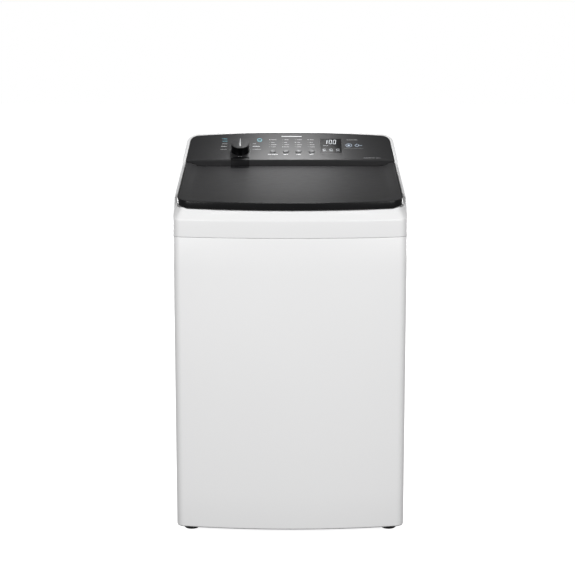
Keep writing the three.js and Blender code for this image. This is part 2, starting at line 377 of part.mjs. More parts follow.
add("tub_seal", turned([[20.4, 303.4], [48, 303.4], [48, 307], [30, 315], [20.4, 315]], 20, 0, TUB_Y), RUBBER());
{
  let m = rod(60, 172, 262, 0, MOTOR_Y, 24).add(rod(40, 261, 279.6, 0, MOTOR_Y, 16));
  m = m.subtract(rod(MOTOR_PULLEY_R > 0 ? 8.4 : 0, 160, 210, 0, MOTOR_Y));
  add("motor_housing", m, mat(0x6d7276, 0.5, 0.8));
  add("motor_rotor", rod(8, 128, 205, 0, MOTOR_Y).add(turned([[4, 138], [MOTOR_PULLEY_R + 3, 138], [MOTOR_PULLEY_R + 3, 140.5], [MOTOR_PULLEY_R, 140.5], [MOTOR_PULLEY_R, 155.5], [MOTOR_PULLEY_R + 3, 155.5], [MOTOR_PULLEY_R + 3, 158], [4, 158]], 20, 0, MOTOR_Y)), STEEL());
}
{
  // pump below the sump, its inlet meeting the sump spigot, its outlet towards the back
  let p = rod(36, 205, 245, 150, -140, 20).add(rod(21, 244, 271.6, 150, -140, 14)).subtract(rod(16, 246, 280, 150, -140, 14)).add(rod(24, 160, 206, 150, -140, 16));
  p = p.add(rodY(13, -140, -75, 170, 225, 12)).subtract(rodY(9, -120, -60, 170, 225, 12));
  add("drain_pump", p, DARK());
  const path = new THREE.CatmullRomCurve3([[170, -74.5, 225], [170, -50, 225], [176, 40, 224], [192, 150, 205], [204, 215, 140], [205, 245, 100], [205, 268, 95]].map((q) => new THREE.Vector3(...q)));
  const ringShape = (r) => new THREE.Shape(Array.from({ length: 10 }, (_, i) => new THREE.Vector2(r * Math.cos(Math.PI * i / 5), r * Math.sin(Math.PI * i / 5))));
  add("drain_hose", toSolid(new THREE.ExtrudeGeometry(ringShape(13), { extrudePath: path, steps: 16, bevelEnabled: false })), RUBBER());
}
{
  // belt round both pulleys: outer and inner outlines are hulls of two circles
  const loop = (grow) => {
    const R = DRIVE_PULLEY_R + grow, r = MOTOR_PULLEY_R + grow, d = MOTOR_Y - TUB_Y, a = Math.asin((R - r) / d), p = [];
    for (let i = 0; i <= 20; i++) { const t = mix(Math.PI - a, 2 * Math.PI + a, i / 20); p.push(new THREE.Vector2(R * Math.cos(t), TUB_Y + R * Math.sin(t))); }
    for (let i = 0; i <= 10; i++) { const t = mix(a, Math.PI - a, i / 10); p.push(new THREE.Vector2(r * Math.cos(t), MOTOR_Y + r * Math.sin(t))); }
    return p;
  };
  add("drive_belt", prism(loop(4.8), 141.5, 154.5).subtract(prism(loop(0.8), 135, 160)), RUBBER());
}

// ================= basket =================
{
  const w = BASKET_WALL, R = BASKET_R;
  let b = turned([[32, BASKET_BOTTOM], [R - 18, BASKET_BOTTOM], [R, BASKET_BOTTOM + 18], [R, BASKET_TOP], [R - w, BASKET_TOP], [R - w, BASKET_BOTTOM + 19], [R - 19, BASKET_BOTTOM + w], [32, BASKET_BOTTOM + w]], 40, 0, TUB_Y);
  add("basket_drum", b, STEEL());
  add("balance_ring", turned([[RING_INNER, BASKET_TOP + 8], [RING_INNER + 6, BASKET_TOP + 0.4], [R + 1, BASKET_TOP + 0.4], [R + 4, BASKET_TOP + 6], [R + 4, RING_TOP - 4], [R - 2, RING_TOP], [RING_INNER + 6, RING_TOP], [RING_INNER, RING_TOP - 8]], 40, 0, TUB_Y), mat(0xbfc4c8, 0.4));
  add("basket_hub", turned([[20.4, 318], [60, 318], [120, 326], [120, 334.6], [20.4, 334.6]], 24, 0, TUB_Y), mat(0x9a9fa3, 0.5, 0.9));
  add("spin_shaft", turned([[12.4, 161], [20, 161], [20, 334], [12.4, 334]], 20, 0, TUB_Y), STEEL());
  // lint filter clipped on the basket wall at the back
  let f = block(-40, 40, TUB_Y + BASKET_R - 24, TUB_Y + BASKET_R - 8, 520, 700).intersect(rod(BASKET_R - 3, 500, 720, 0, TUB_Y, 40));
  f = f.subtract(block(-34, 34, TUB_Y + BASKET_R - 21, TUB_Y + BASKET_R - 10, 526, 694)).subtract(block(-32, 32, TUB_Y + BASKET_R - 30, TUB_Y + BASKET_R - 20, 534, 686));
  for (const x of [-16, 0, 16]) f = f.add(block(x - 1.5, x + 1.5, TUB_Y + BASKET_R - 23.5, TUB_Y + BASKET_R - 20.5, 530, 690));
  add("lint_filter", f, mat(0x8fb6c9, 0.5));
}
// ================= wash plate and drive =================
{
  let p = turned([[0, 366.6], [10.6, 366.6], [10.6, 341], [26, 341], [26, 346], [150, 341], [168, 352], [168, 356], [150, 350], [70, 362], [40, 384], [16, 388], [16, 381], [0, 381]], 28, 0, TUB_Y);
  for (let i = 0; i < 6; i++) {
    const a = Math.PI * i / 3, fin = new THREE.Shape([[30, 350], [160, 351], [156, 362], [100, 378], [36, 384]].map(([r, z]) => new THREE.Vector2(r, z)));
    p = p.add(toSolid(new THREE.ExtrudeGeometry(fin, { depth: 10, bevelEnabled: false, steps: 1 }).translate(0, 0, -5).rotateX(Math.PI / 2).rotateZ(a).translate(0, TUB_Y, 0)));
  }
  p = p.subtract(rod(4.3, 360, 400, 0, TUB_Y, 10));
  add("pulsator", p, mat(0xc9ced2, 0.4));
  add("drive_shaft", rod(9.8, 130, 366, 0, TUB_Y), STEEL());
  add("pulsator_bolt", rod(3.9, 366.4, 382, 0, TUB_Y, 10).add(rod(11, 381.4, 387, 0, TUB_Y, 6)), STEEL());
  add("drive_pulley", turned([[10.2, 136], [DRIVE_PULLEY_R + 3, 136], [DRIVE_PULLEY_R + 3, 139], [DRIVE_PULLEY_R, 139], [DRIVE_PULLEY_R, 156], [DRIVE_PULLEY_R + 3, 156], [DRIVE_PULLEY_R + 3, 159], [26, 159], [10.2, 158.5]], 24, 0, TUB_Y), mat(0x44484b, 0.5, 0.6));
}

export default machine;
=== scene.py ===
# Top load washing machine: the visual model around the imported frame.
import math
import bpy
import bmesh
import numpy as np
from mathutils import Vector, Matrix


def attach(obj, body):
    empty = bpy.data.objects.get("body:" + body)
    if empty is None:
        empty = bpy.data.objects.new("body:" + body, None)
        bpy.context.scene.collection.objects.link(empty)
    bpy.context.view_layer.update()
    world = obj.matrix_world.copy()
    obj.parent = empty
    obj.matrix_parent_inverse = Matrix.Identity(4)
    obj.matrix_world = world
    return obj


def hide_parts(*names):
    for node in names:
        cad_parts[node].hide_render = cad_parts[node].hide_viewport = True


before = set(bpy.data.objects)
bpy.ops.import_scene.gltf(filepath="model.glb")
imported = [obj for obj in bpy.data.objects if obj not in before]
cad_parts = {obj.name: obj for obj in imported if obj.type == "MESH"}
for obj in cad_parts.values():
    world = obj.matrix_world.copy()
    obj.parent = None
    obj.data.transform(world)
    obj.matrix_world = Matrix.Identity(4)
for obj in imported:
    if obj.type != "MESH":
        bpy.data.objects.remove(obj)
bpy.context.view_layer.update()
scene = bpy.context.scene
scene.view_settings.view_transform = "Standard"

# ---------------------------------------------------------------- dimensions, in millimetres, as in the CAD
HALF, FRONT, BACK, BOW = 315.0, -330.0, 330.0, 1661.0
CORNER = 25.0
CAB0, CAB1 = 15.0, 829.7
COV0, CREST, DECK = 830.3, 877.0, 905.0
LID_HALF, LID_INSET, LID_CORNER, LID_BACK = 305.0, 18.0, 40.0, 112.0
HINGE_Y, HINGE_Z = 98.0, 969.0
LIP_Y, LIP_Z, TILT = 118.0, 989.0, math.radians(27)
CON_BACK, CON_BOW, CON_HALF, CON_BACK_HALF, CON_R = 250.0, 17.0, 305.0, 297.0, 28.0
KNOB_X, KNOB_V, KNOB_R, KNOB_H = -147.0, 47.1, 26.7, 27.0
BUTTONS, BUTTON_V, BUTTON_R = (-51.0, -12.7, 24.4, 62.7), 42.6, 7.7
DISP_X, DISP_W, DISP_V0, DISP_V1 = 121.0, 61.0, 36.0, 112.0
TUB_Y = -20.0


def sm(a, b, x):
    t = min(1.0, max(0.0, (x - a) / (b - a)))
    return t * t * (3 - 2 * t)


def mix(a, b, t):
    return a + (b - a) * t


def side_plane(y): return 928.5 + 0.1408 * (y + 272)
def mid_plane(y): return 923 + 0.1136 * (y + 312)
def lid_top(x, y): return mix(mid_plane(y), side_plane(y), sm(262, 300, abs(x)))
def lid_bottom(x, y): return mid_plane(y) - 20
def pocket_floor(x, y): return lid_bottom(x, y) - 2.2 - 1.6 * sm(55, 80, y)
def face_z(y): return LIP_Z + (y - LIP_Y) * math.tan(TILT)
def rim_z(y): return side_plane(y) - 1.5 if y > -272 else mix(900, 927, sm(-314, -272, y))
def crest_z(y): return mix(CREST, side_plane(y) - 8, sm(-302, -210, y))


# ---------------------------------------------------------------- mesh helpers
def obj_from(name, verts, faces, mat, body, replaces=(), smooth=35.0, slot=None):
    me = bpy.data.meshes.new(name)
    me.from_pydata([(x * 0.001, y * 0.001, z * 0.001) for x, y, z in verts], [], faces)
    me.validate()
    ob = bpy.data.objects.new(name, me)
    scene.collection.objects.link(ob)
    tidy(ob, smooth)
    dress(ob, mat, body, replaces)
    return ob


def tidy(ob, smooth=35.0, merge=2e-6):
    bm = bmesh.new()
    bm.from_mesh(ob.data)
    bmesh.ops.remove_doubles(bm, verts=bm.verts, dist=merge)
    bmesh.ops.dissolve_degenerate(bm, edges=bm.edges, dist=1e-6)
    bmesh.ops.recalc_face_normals(bm, faces=bm.faces)
    bm.to_mesh(ob.data)
    bm.free()
    if smooth:
        ob.data.shade_smooth()
        ob.data.set_sharp_from_angle(angle=math.radians(smooth))


def dress(ob, mat, body, replaces=()):
    ob.data.materials.clear()
    for m in (mat if isinstance(mat, (list, tuple)) else [mat]):
        ob.data.materials.append(m)
    if replaces:
        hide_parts(*replaces)
    if body:
        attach(ob, body)


def loft(secs, ring=False, wrap=True, caps=False):
    """secs: sections of equal length. ring closes the row of sections on itself; wrap closes each section."""
    m = len(secs[0])
    verts = [p for s in secs for p in s]
    faces = []
    n = len(secs)
    for i in range(n if ring else n - 1):
        j = (i + 1) % n
        for k in range(m if wrap else m - 1):
            l = (k + 1) % m
            faces.append((i * m + k, i * m + l, j * m + l, j * m + k))
    if caps:
        faces.append(tuple(range(m)))
        faces.append(tuple((n - 1) * m + k for k in range(m)))
    return verts, faces


def join(*parts):
    V, F = [], []
    for v, f in parts:
        o = len(V)
        V += list(v)
        F += [tuple(i + o for i in q) for q in f]
    return V, F


def rounded(pts, radii, n=5):
    """A closed 2-D outline with its corners rounded."""
    out = []
    m = len(pts)
    for i in range(m):
        p = np.array(pts[i], float); a = np.array(pts[i - 1], float); b = np.array(pts[(i + 1) % m], float)
        r = radii[i] if isinstance(radii, (list, tuple)) else radii
        if r <= 0:
            out.append(tuple(p)); continue
        u = (a - p) / np.linalg.norm(a - p); v = (b - p) / np.linalg.norm(b - p)
        ang = math.acos(max(-1, min(1, float(u @ v))))
        if ang > math.pi - 0.02:
            out.append(tuple(p)); continue
        d = min(r / math.tan(ang / 2), 0.49 * np.linalg.norm(a - p), 0.49 * np.linalg.norm(b - p))
        r2 = d * math.tan(ang / 2)
        c = p + (u + v) / np.linalg.norm(u + v) * (r2 / math.sin(ang / 2))
        s, e = p + u * d - c, p + v * d - c
        a0 = math.atan2(s[1], s[0]); a1 = math.atan2(e[1], e[0])
        da = (a1 - a0 + math.pi) % (2 * math.pi) - math.pi
        for k in range(n + 1):
            t = a0 + da * k / n
            out.append((c[0] + r2 * math.cos(t), c[1] + r2 * math.sin(t)))
    return out


def section(pts, radii, n=5):
    """As rounded, but always the same number of points for the same list of radii."""
    out = []
    m = len(pts)
    for i in range(m):
        p = np.array(pts[i], float); a = np.array(pts[i - 1], float); b = np.array(pts[(i + 1) % m], float)
        if radii[i] <= 0:
            out.append(tuple(p)); continue
        la, lb = float(np.linalg.norm(a - p)), float(np.linalg.norm(b - p))
        u, v = (a - p) / max(la, 1e-9), (b - p) / max(lb, 1e-9)
        ang = math.acos(max(-1, min(1, float(u @ v))))
        if ang > math.pi - 0.05 or ang < 0.05 or la < 1e-6 or lb < 1e-6:
            e = min(0.2, la * 0.3, lb * 0.3)
            for k in range(n + 1):
                t = 2 * k / n - 1
                out.append(tuple(p + (u * -t * e if t < 0 else v * t * e)))
            continue
        d = min(radii[i] / math.tan(ang / 2), 0.49 * la, 0.49 * lb)
        r2 = d * math.tan(ang / 2)
        c = p + (u + v) / np.linalg.norm(u + v) * (r2 / math.sin(ang / 2))
        s0, e0 = p + u * d - c, p + v * d - c
        a0 = math.atan2(s0[1], s0[0]); a1 = math.atan2(e0[1], e0[0])
        da = (a1 - a0 + math.pi) % (2 * math.pi) - math.pi
        for k in range(n + 1):
            t = a0 + da * k / n
            out.append((c[0] + r2 * math.cos(t), c[1] + r2 * math.sin(t)))
    return out


def turned(rz, seg=64, x=0.0, y=0.0):
    secs = []
    for i in range(seg):
        a = 2 * math.pi * i / seg
        secs.append([(x + r * math.cos(a), y + r * math.sin(a), z) for r, z in rz])
    return loft(secs, ring=True, wrap=True)


def prism(pts, z0, z1, bevel=0.0, n=3):
    """Extruded outline with rolled edges top and bottom. pts anticlockwise."""
    P = np.array(pts, float)
    d = np.roll(P, -1, 0) - np.roll(P, 1, 0)
    nrm = np.stack([d[:, 1], -d[:, 0]], 1); nrm /= np.linalg.norm(nrm, axis=1)[:, None]
    rows = []
    if bevel > 0:
        for k in range(n + 1):
            t = math.pi / 2 * k / n
            rows.append((bevel * (1 - math.sin(t)), z0 + bevel * (1 - math.cos(t))))
        for k in range(n + 1):
            t = math.pi / 2 * k / n
            rows.append((bevel * (1 - math.cos(t)), z1 - bevel * (1 - math.sin(t))))
    else:
        rows = [(0, z0), (0, z1)]
    secs = [[(x, y, z) for x, y in (P - nrm * o)] for o, z in rows]
    return loft(secs, ring=False, wrap=True, caps=True)


def box(x0, x1, y0, y1, z0, z1, bevel=0.0):
    return prism([(x0, y0), (x1, y0), (x1, y1), (x0, y1)], z0, z1) if bevel <= 0 else \
        prism(rounded([(x0, y0), (x1, y0), (x1, y1), (x0, y1)], bevel, 3), z0, z1, min(bevel, (z1 - z0) * 0.45), 3)


def circle(x, y, r, n=32, a0=0.0):
    return [(x + r * math.cos(a0 + 2 * math.pi * i / n), y + r * math.sin(a0 + 2 * math.pi * i / n)) for i in range(n)]


FM = Matrix.Translation((0, LIP_Y, LIP_Z)) @ Matrix.Rotation(TILT, 4, "X")


def on_face(part):
    return [tuple(FM @ Vector(v)) for v in part[0]], part[1]


def rotated(part, axis, angle, about=(0, 0, 0)):
    M = Matrix.Translation(about) @ Matrix.Rotation(angle, 4, axis) @ Matrix.Translation([-c for c in about])
    return [tuple(M @ Vector(v)) for v in part[0]], part[1]


def cut(ob, *parts):
    """Takes closed parts away from ob's mesh."""
    v, f = join(*parts)
    me = bpy.data.meshes.new("cutter")
    me.from_pydata([(x * 0.001, y * 0.001, z * 0.001) for x, y, z in v], [], f)
    c = bpy.data.objects.new("cutter", me)
    scene.collection.objects.link(c)
    tidy(c, 0)
    m = ob.modifiers.new("cut", "BOOLEAN")
    m.operation, m.solver, m.object = "DIFFERENCE", "EXACT", c
    dg = bpy.context.evaluated_depsgraph_get()
    new = bpy.data.meshes.new_from_object(ob.evaluated_get(dg))
    if len(new.polygons) < 0.5 * len(ob.data.polygons):
        m.solver = "FAST"
        dg = bpy.context.evaluated_depsgraph_get()
        new = bpy.data.meshes.new_from_object(ob.evaluated_get(dg))
    ob.modifiers.clear()
    old = ob.data
    ob.data = new
    bpy.data.meshes.remove(old)
    bpy.data.objects.remove(c)
    ob.data.shade_smooth()
    ob.data.set_sharp_from_angle(angle=math.radians(30))


# ---------------------------------------------------------------- outlines
def bow_u(half, back, r, inset=0.0, nside=10, nc=8, nf=48):
    """Right side at the back, round the bowed front, to the left side at the back."""
    R = BOW - inset
    cy = FRONT + BOW
    fx = half - r
    fy = cy - math.sqrt((R - r) ** 2 - fx ** 2)
    a = math.atan2(fy - cy, fx)
    out = [(half, mix(back, fy, i / nside)) for i in range(nside)]
    out += [(fx + r * math.cos(a * i / nc), fy + r * math.sin(a * i / nc)) for i in range(nc + 1)]
    a1 = -math.pi - a
    out += [(R * math.cos(mix(a, a1, i / nf)), cy + R * math.sin(mix(a, a1, i / nf))) for i in range(1, nf)]
    left = [(-x, y) for x, y in reversed(out[: nside + nc + 1])]
    return out + left


def depth_in(x, y):
    d = BOW - math.hypot(x, y - (FRONT + BOW))
    s = HALF - abs(x)
    r = CORNER + 8
    if d < r and s < r:
        return r - math.hypot(r - d, r - s)
    return min(d, s)


def console_u(grow, n=10, nc=10, nb=40, y0=LIP_Y):
    """Right side at the lip, round the back, to the left side at the lip (anticlockwise)."""
    r = CON_R + grow
    hb = CON_BACK_HALF + grow
    hw = CON_HALF + grow
    back = lambda x: CON_BACK + grow - CON_BOW * (x / CON_BACK_HALF) ** 2
    side = lambda y: mix(hw, hb, min(1, (y - LIP_Y) / (CON_BACK - LIP_Y)))
    cx = hb - r
    cy = back(cx) - r
    a1 = math.pi / 2 - 0.1
    out = [(mix(side(y0), cx + r * math.cos(0.04), i / n), mix(y0, cy + r * math.sin(0.04), i / n)) for i in range(n)]
    out += [(cx + r * math.cos(mix(0.04, a1, i / nc)), cy + r * math.sin(mix(0.04, a1, i / nc))) for i in range(nc + 1)]
    x1 = out[-1][0]
    out += [(mix(x1, -x1, i / nb), back(mix(x1, -x1, i / nb))) for i in range(1, nb)]
    out += [(-x, y) for x, y in reversed(out[: n + nc + 1])]
    return out


# ---------------------------------------------------------------- materials
def principled(name, color, rough=0.4, metal=0.0, coat=0.0, coat_rough=0.05, spec=None, ior=None, aniso=None, alpha=None, trans=None, emit=None):
    m = bpy.data.materials.new(name)
    m.use_nodes = True
    nt = m.node_tree
    b = nt.nodes["Principled BSDF"]
    b.inputs["Base Color"].default_value = (*color, 1)
    b.inputs["Roughness"].default_value = rough
    b.inputs["Metallic"].default_value = metal
    b.inputs["Coat Weight"].default_value = coat
    b.inputs["Coat Roughness"].default_value = coat_rough
    if spec is not None: b.inputs["Specular IOR Level"].default_value = spec
    if ior is not None: b.inputs["IOR"].default_value = ior
    if aniso is not None: b.inputs["Anisotropic"].default_value = aniso
    if trans is not None: b.inputs["Transmission Weight"].default_value = trans
    if emit is not None:
        b.inputs["Emission Color"].default_value = (*emit[0], 1)
        b.inputs["Emission Strength"].default_value = emit[1]
    return m, nt, b


def node(nt, kind, **inputs):
    n = nt.nodes.new(kind)
    for k, v in inputs.items():
        n.inputs[k.replace("_", " ")].default_value = v
    return n


def coords(nt, scale=(1, 1, 1)):
    tc = nt.nodes.new("ShaderNodeTexCoord")
    mp = nt.nodes.new("ShaderNodeMapping")
    mp.inputs["Scale"].default_value = scale
    nt.links.new(tc.outputs["Object"], mp.inputs["Vector"])
    return mp.outputs["Vector"]


def noise(nt, scale, detail=3.0, rough=0.55, stretch=(1, 1, 1)):
    n = node(nt, "ShaderNodeTexNoise", Scale=scale, Detail=detail, Roughness=rough)
    nt.links.new(coords(nt, stretch), n.inputs["Vector"])
    return n.outputs["Fac"]


def ramp(nt, src, lo, hi, a=0.35, b=0.65):
    """Maps a noise to a range of values."""
    r = nt.nodes.new("ShaderNodeMapRange")
    r.inputs["From Min"].default_value, r.inputs["From Max"].default_value = a, b
    r.inputs["To Min"].default_value, r.inputs["To Max"].default_value = lo, hi
    nt.links.new(src, r.inputs["Value"])
    return r.outputs["Result"]


def tint(nt, b, src, c0, c1, a=0.35, bb=0.65):
    r = nt.nodes.new("ShaderNodeValToRGB")
    r.color_ramp.elements[0].position, r.color_ramp.elements[1].position = a, bb
    r.color_ramp.elements[0].color, r.color_ramp.elements[1].color = (*c0, 1), (*c1, 1)
    nt.links.new(src, r.inputs["Fac"])
    nt.links.new(r.outputs["Color"], b.inputs["Base Color"])


def bump(nt, b, src, strength, dist):
    n = nt.nodes.new("ShaderNodeBump")
    n.inputs["Strength"].default_value = strength
    n.inputs["Distance"].default_value = dist
    nt.links.new(src, n.inputs["Height"])
    nt.links.new(n.outputs["Normal"], b.inputs["Normal"])


def finish_mat(name, color, rough, metal=0.0, grain=900.0, var=0.03, rvar=0.05, bstr=0.06, bdist=0.00003, stretch=(1, 1, 1), **kw):
    """Colour and roughness drift a little over the surface, with a fine grain in the bump."""
    m, nt, b = principled(name, color, rough, metal, **kw)
    big = noise(nt, 3.0, 1.0)
    c0 = tuple(max(0, c * (1 - var)) for c in color)
    c1 = tuple(min(1, c * (1 + var)) for c in color)
    tint(nt, b, big, c0, c1)
    nt.links.new(ramp(nt, noise(nt, 13.0, 1.5), rough - rvar, rough + rvar, 0.25, 0.75), b.inputs["Roughness"])
    bump(nt, b, noise(nt, grain, 2.0, stretch=stretch), bstr, bdist)
    return m


M = {}
M["enamel"] = finish_mat("white_enamel", (0.85, 0.85, 0.852), 0.34, grain=420, var=0.003, rvar=0.02, bstr=0.08, bdist=0.00003)
M["cover"] = finish_mat("white_moulding", (0.82, 0.82, 0.822), 0.36, grain=1500, var=0.003, rvar=0.03, bstr=0.08, bdist=0.00002)
M["fascia"] = finish_mat("gloss_black_edge", (0.0055, 0.0055, 0.006), 0.25, grain=700, var=0.1, rvar=0.03, bstr=0.03, spec=0.26)
M["black_gloss"] = finish_mat("gloss_black", (0.0012, 0.0012, 0.0015), 0.18, grain=600, var=0.1, rvar=0.02, bstr=0.02, spec=0.22)
M["recess"] = finish_mat("recess_black", (0.004, 0.004, 0.0045), 0.42, grain=700, var=0.1, rvar=0.04, bstr=0.05, spec=0.15)
M["dark"] = finish_mat("dark_grained_plastic", (0.030, 0.031, 0.033), 0.55, grain=1800, var=0.08, rvar=0.06, bstr=0.35, bdist=0.00008)
M["rubber"] = finish_mat("black_rubber", (0.018, 0.018, 0.018), 0.78, grain=900, var=0.15, rvar=0.06, bstr=0.3, bdist=0.0001)
M["tub"] = finish_mat("plain_plastic", (0.60, 0.61, 0.62), 0.5, grain=900, var=0.03, rvar=0.06, bstr=0.15)
M["pale"] = finish_mat("pale_grey_plastic", (0.55, 0.585, 0.605), 0.33, grain=1200, var=0.02, rvar=0.05, bstr=0.08)
M["filter"] = finish_mat("blue_grey_plastic", (0.20, 0.36, 0.45), 0.42, grain=1300, var=0.05, rvar=0.05, bstr=0.12)
M["drawer"] = finish_mat("drawer_plastic", (0.62, 0.68, 0.71), 0.3, grain=1200, var=0.02, rvar=0.04, bstr=0.06)
M["cast"] = finish_mat("die_cast", (0.50, 0.51, 0.52), 0.48, 0.85, grain=500, var=0.08, rvar=0.08, bstr=0.4, bdist=0.00015)
M["iron"] = finish_mat("stator_paint", (0.10, 0.105, 0.11), 0.5, 0.3, grain=450, var=0.1, rvar=0.08, bstr=0.35, bdist=0.0001)
M["pcb"] = finish_mat("board_green", (0.015, 0.09, 0.035), 0.4, grain=800, var=0.2, rvar=0.08, bstr=0.3)
M["disc"] = finish_mat("smoked_window", (0.006, 0.006, 0.0065), 0.30, grain=500, var=0.1, rvar=0.02, bstr=0.01, spec=0.12)


def brushed(name, color, rough, metal, stretch, strength=0.25, dist=0.00002, streak=(0.9, 1.1), aniso=0.0, coat=0.0, grain=900.0, spec=None):
    m, nt, b = principled(name, color, rough, metal, coat=coat, coat_rough=0.1, spec=spec)
    if aniso: b.inputs["Anisotropic"].default_value = aniso
    s = noise(nt, grain, 3.0, 0.6, stretch)
    tint(nt, b, s, tuple(c * streak[0] for c in color), tuple(min(1, c * streak[1]) for c in color))
    nt.links.new(ramp(nt, s, rough - 0.05, rough + 0.05), b.inputs["Roughness"])
    bump(nt, b, s, strength, dist)
    return m


M["steel"] = brushed("bright_steel", (0.58, 0.59, 0.60), 0.28, 1.0, (1, 1, 0.02))
M["stainless"] = brushed("brushed_stainless", (0.66, 0.67, 0.68), 0.27, 1.0, (1, 1, 0.03), 0.3, 0.00003)
M["lid"] = brushed("lid_dark_glass", (0.028, 0.028, 0.029), 0.37, 0.05, (0.04, 1, 1), 0.08, 0.00001, (0.93, 1.07), spec=0.22)
M["console"] = brushed("console_dark_metallic", (0.021, 0.021, 0.022), 0.37, 0.1, (0.04, 1, 1), 0.10, 0.00001, (0.93, 1.07), spec=0.35)


def galvanised():
    m, nt, b = principled("galvanised_sheet", (0.54, 0.56, 0.575), 0.45, 0.45)
    v = nt.nodes.new("ShaderNodeTexVoronoi")
    v.inputs["Scale"].default_value = 130.0
    nt.links.new(coords(nt), v.inputs["Vector"])
    tint(nt, b, v.outputs["Distance"], (0.50, 0.52, 0.535), (0.56, 0.58, 0.595), 0.0, 0.7)
    nt.links.new(ramp(nt, v.outputs["Distance"], 0.32, 0.5, 0.0, 0.7), b.inputs["Roughness"])
    bump(nt, b, noise(nt, 500.0), 0.15, 0.00005)
    return m


M["zinc"] = galvanised()


def printed(name, color, strength=0.0):
    m, nt, b = principled(name, color, 0.5, emit=(color, strength) if strength else None)
    n = noise(nt, 2500.0, 2.0)
    tint(nt, b, n, tuple(c * 0.85 for c in color), color)
    return m


M["ink"] = printed("ink_pale", (0.62, 0.63, 0.64))
M["ink_dim"] = printed("ink_grey", (0.30, 0.305, 0.31))
M["ink_teal"] = printed("ink_teal", (0.16, 0.42, 0.50))
M["ink_blue"] = printed("ink_pale_blue", (0.42, 0.50, 0.60))
M["led"] = printed("display_segments", (0.66, 0.70, 0.73), 0.35)
M["led_dim"] = printed("display_icons", (0.42, 0.44, 0.46), 0.25)

# ---------------------------------------------------------------- camera, lights, floor
cam_data = bpy.data.cameras.new("camera")
cam = bpy.data.objects.new("camera", cam_data)
scene.collection.objects.link(cam)
cam.location = (0, -4.4645, 1.528)
cam.rotation_euler = (math.pi / 2 - 0.1874, 0, 0)
cam_data.sensor_width = 36.0
cam_data.lens = 98.5
cam_data.shift_x, cam_data.shift_y = -0.0047, -0.0296
cam_data.dof.use_dof = False
scene.camera = cam

world = bpy.data.worlds.new("studio")
world.use_nodes = True
wn = world.node_tree
bg = wn.nodes["Background"]
bg.inputs["Color"].default_value = (1, 1, 1, 1)
bg.inputs["Strength"].default_value = 0.22
bright = wn.nodes.new("ShaderNodeBackground")
bright.inputs["Color"].default_value = (1, 1, 1, 1)
bright.inputs["Strength"].default_value = 1.0
lp = wn.nodes.new("ShaderNodeLightPath")
ms = wn.nodes.new("ShaderNodeMixShader")
wn.links.new(lp.outputs["Is Camera Ray"], ms.inputs["Fac"])
wn.links.new(bg.outputs["Background"], ms.inputs[1])
wn.links.new(bright.outputs["Background"], ms.inputs[2])
wn.links.new(ms.outputs["Shader"], wn.nodes["World Output"].inputs["Surface"])
scene.world = world


def lamp(name, loc, target, size, power, size_y=None, spread=None):
    d = bpy.data.lights.new(name, "AREA")
    d.shape = "RECTANGLE"
    d.size, d.size_y = size, size_y or size
    d.energy = power
    if spread: d.spread = spread
    o = bpy.data.objects.new(name, d)
    scene.collection.objects.link(o)
    o.location = loc
    o.rotation_euler = (Vector(target) - Vector(loc)).to_track_quat("-Z", "Y").to_euler()
    o.visible_camera = False
    return o


lamp("key_top", (0, -0.9, 3.4), (0, -0.1, 0.6), 2.4, 11, 2.0)
lamp("front_left", (-2.4, -3.7, 2.15), (0, -0.3, 0.8), 1.6, 94, 1.8)
lamp("front_right", (2.4, -3.7, 2.15), (0, -0.3, 0.8), 1.6, 94, 1.8)
lamp("back_glow", (0, 0.95, 1.62), (0, 0.09, 0.97), 0.30, 0.0125, 0.22, math.radians(24))
lamp("console_glow", (0, 0.61, 1.80), (0, 0.15, 1.00), 0.22, 0.042, 0.2, math.radians(36))
lamp("rear_top", (0, 0.20, 1.50), (0, 0.10, 0.98), 0.26, 0.8, 0.2, math.radians(70))
lamp("rear_fill_left", (-2.2, 3.0, 0.62), (0, 0.3, 0.5), 1.2, 26, 0.9)
lamp("rear_fill_right", (2.2, 3.0, 0.62), (0, 0.3, 0.5), 1.2, 26, 0.9)

floor_me = bpy.data.meshes.new("floor")
s = 14.0
floor_me.from_pydata([(-s, -s, 0), (s, -s, 0), (s, s, 0), (-s, s, 0)], [], [(0, 1, 2, 3)])
floor = bpy.data.objects.new("floor", floor_me)
floor.visible_glossy = False
floor.visible_diffuse = False
scene.collection.objects.link(floor)
fm, fnt, fb = principled("floor_pale", (0.93, 0.93, 0.93), 0.75, emit=((1, 1, 1), 0.85))
fb.inputs["Specular IOR Level"].default_value = 0.1
tint(fnt, fb, noise(fnt, 1.5), (0.925, 0.925, 0.925), (0.94, 0.94, 0.94))
floor.data.materials.append(fm)

# ---------------------------------------------------------------- finishes for the carried-over CAD nodes
CAD_FINISH = {
    "steel": ["hinge_pin_left", "hinge_pin_right", "lock_bolt", "spin_shaft", "drive_shaft", "bearing_upper", "bearing_lower", "motor_rotor"],
    "rubber": ["tub_seal", "drive_belt", "drain_hose"],
    "tub": ["outer_tub", "tub_ring"],
    "dark": ["lid_lock_housing", "drain_pump", "base_frame"],
    "zinc": ["mount_plate"],
    "cast": ["basket_hub", "gearcase", "drive_pulley"],
    "iron": ["motor_housing"],
    "pcb": ["control_board"],
    "cover": ["dispenser_housing"],
}
for key, names in CAD_FINISH.items():
    for n in names:
        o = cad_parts[n]
        for i in range(max(1, len(o.data.materials))):
            if i < len(o.data.materials):
                o.data.materials[i] = M[key]
            else:
                o.data.materials.append(M[key])
for c in ("front_left", "front_right", "rear_left", "rear_right"):
    for n, key in (("suspension_rod_" + c, "steel"), ("damper_cup_" + c, "tub")):
        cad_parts[n].data.materials[0] = M[key]

# ================================================================ cabinet
NS, NC, NF = 14, 12, 72


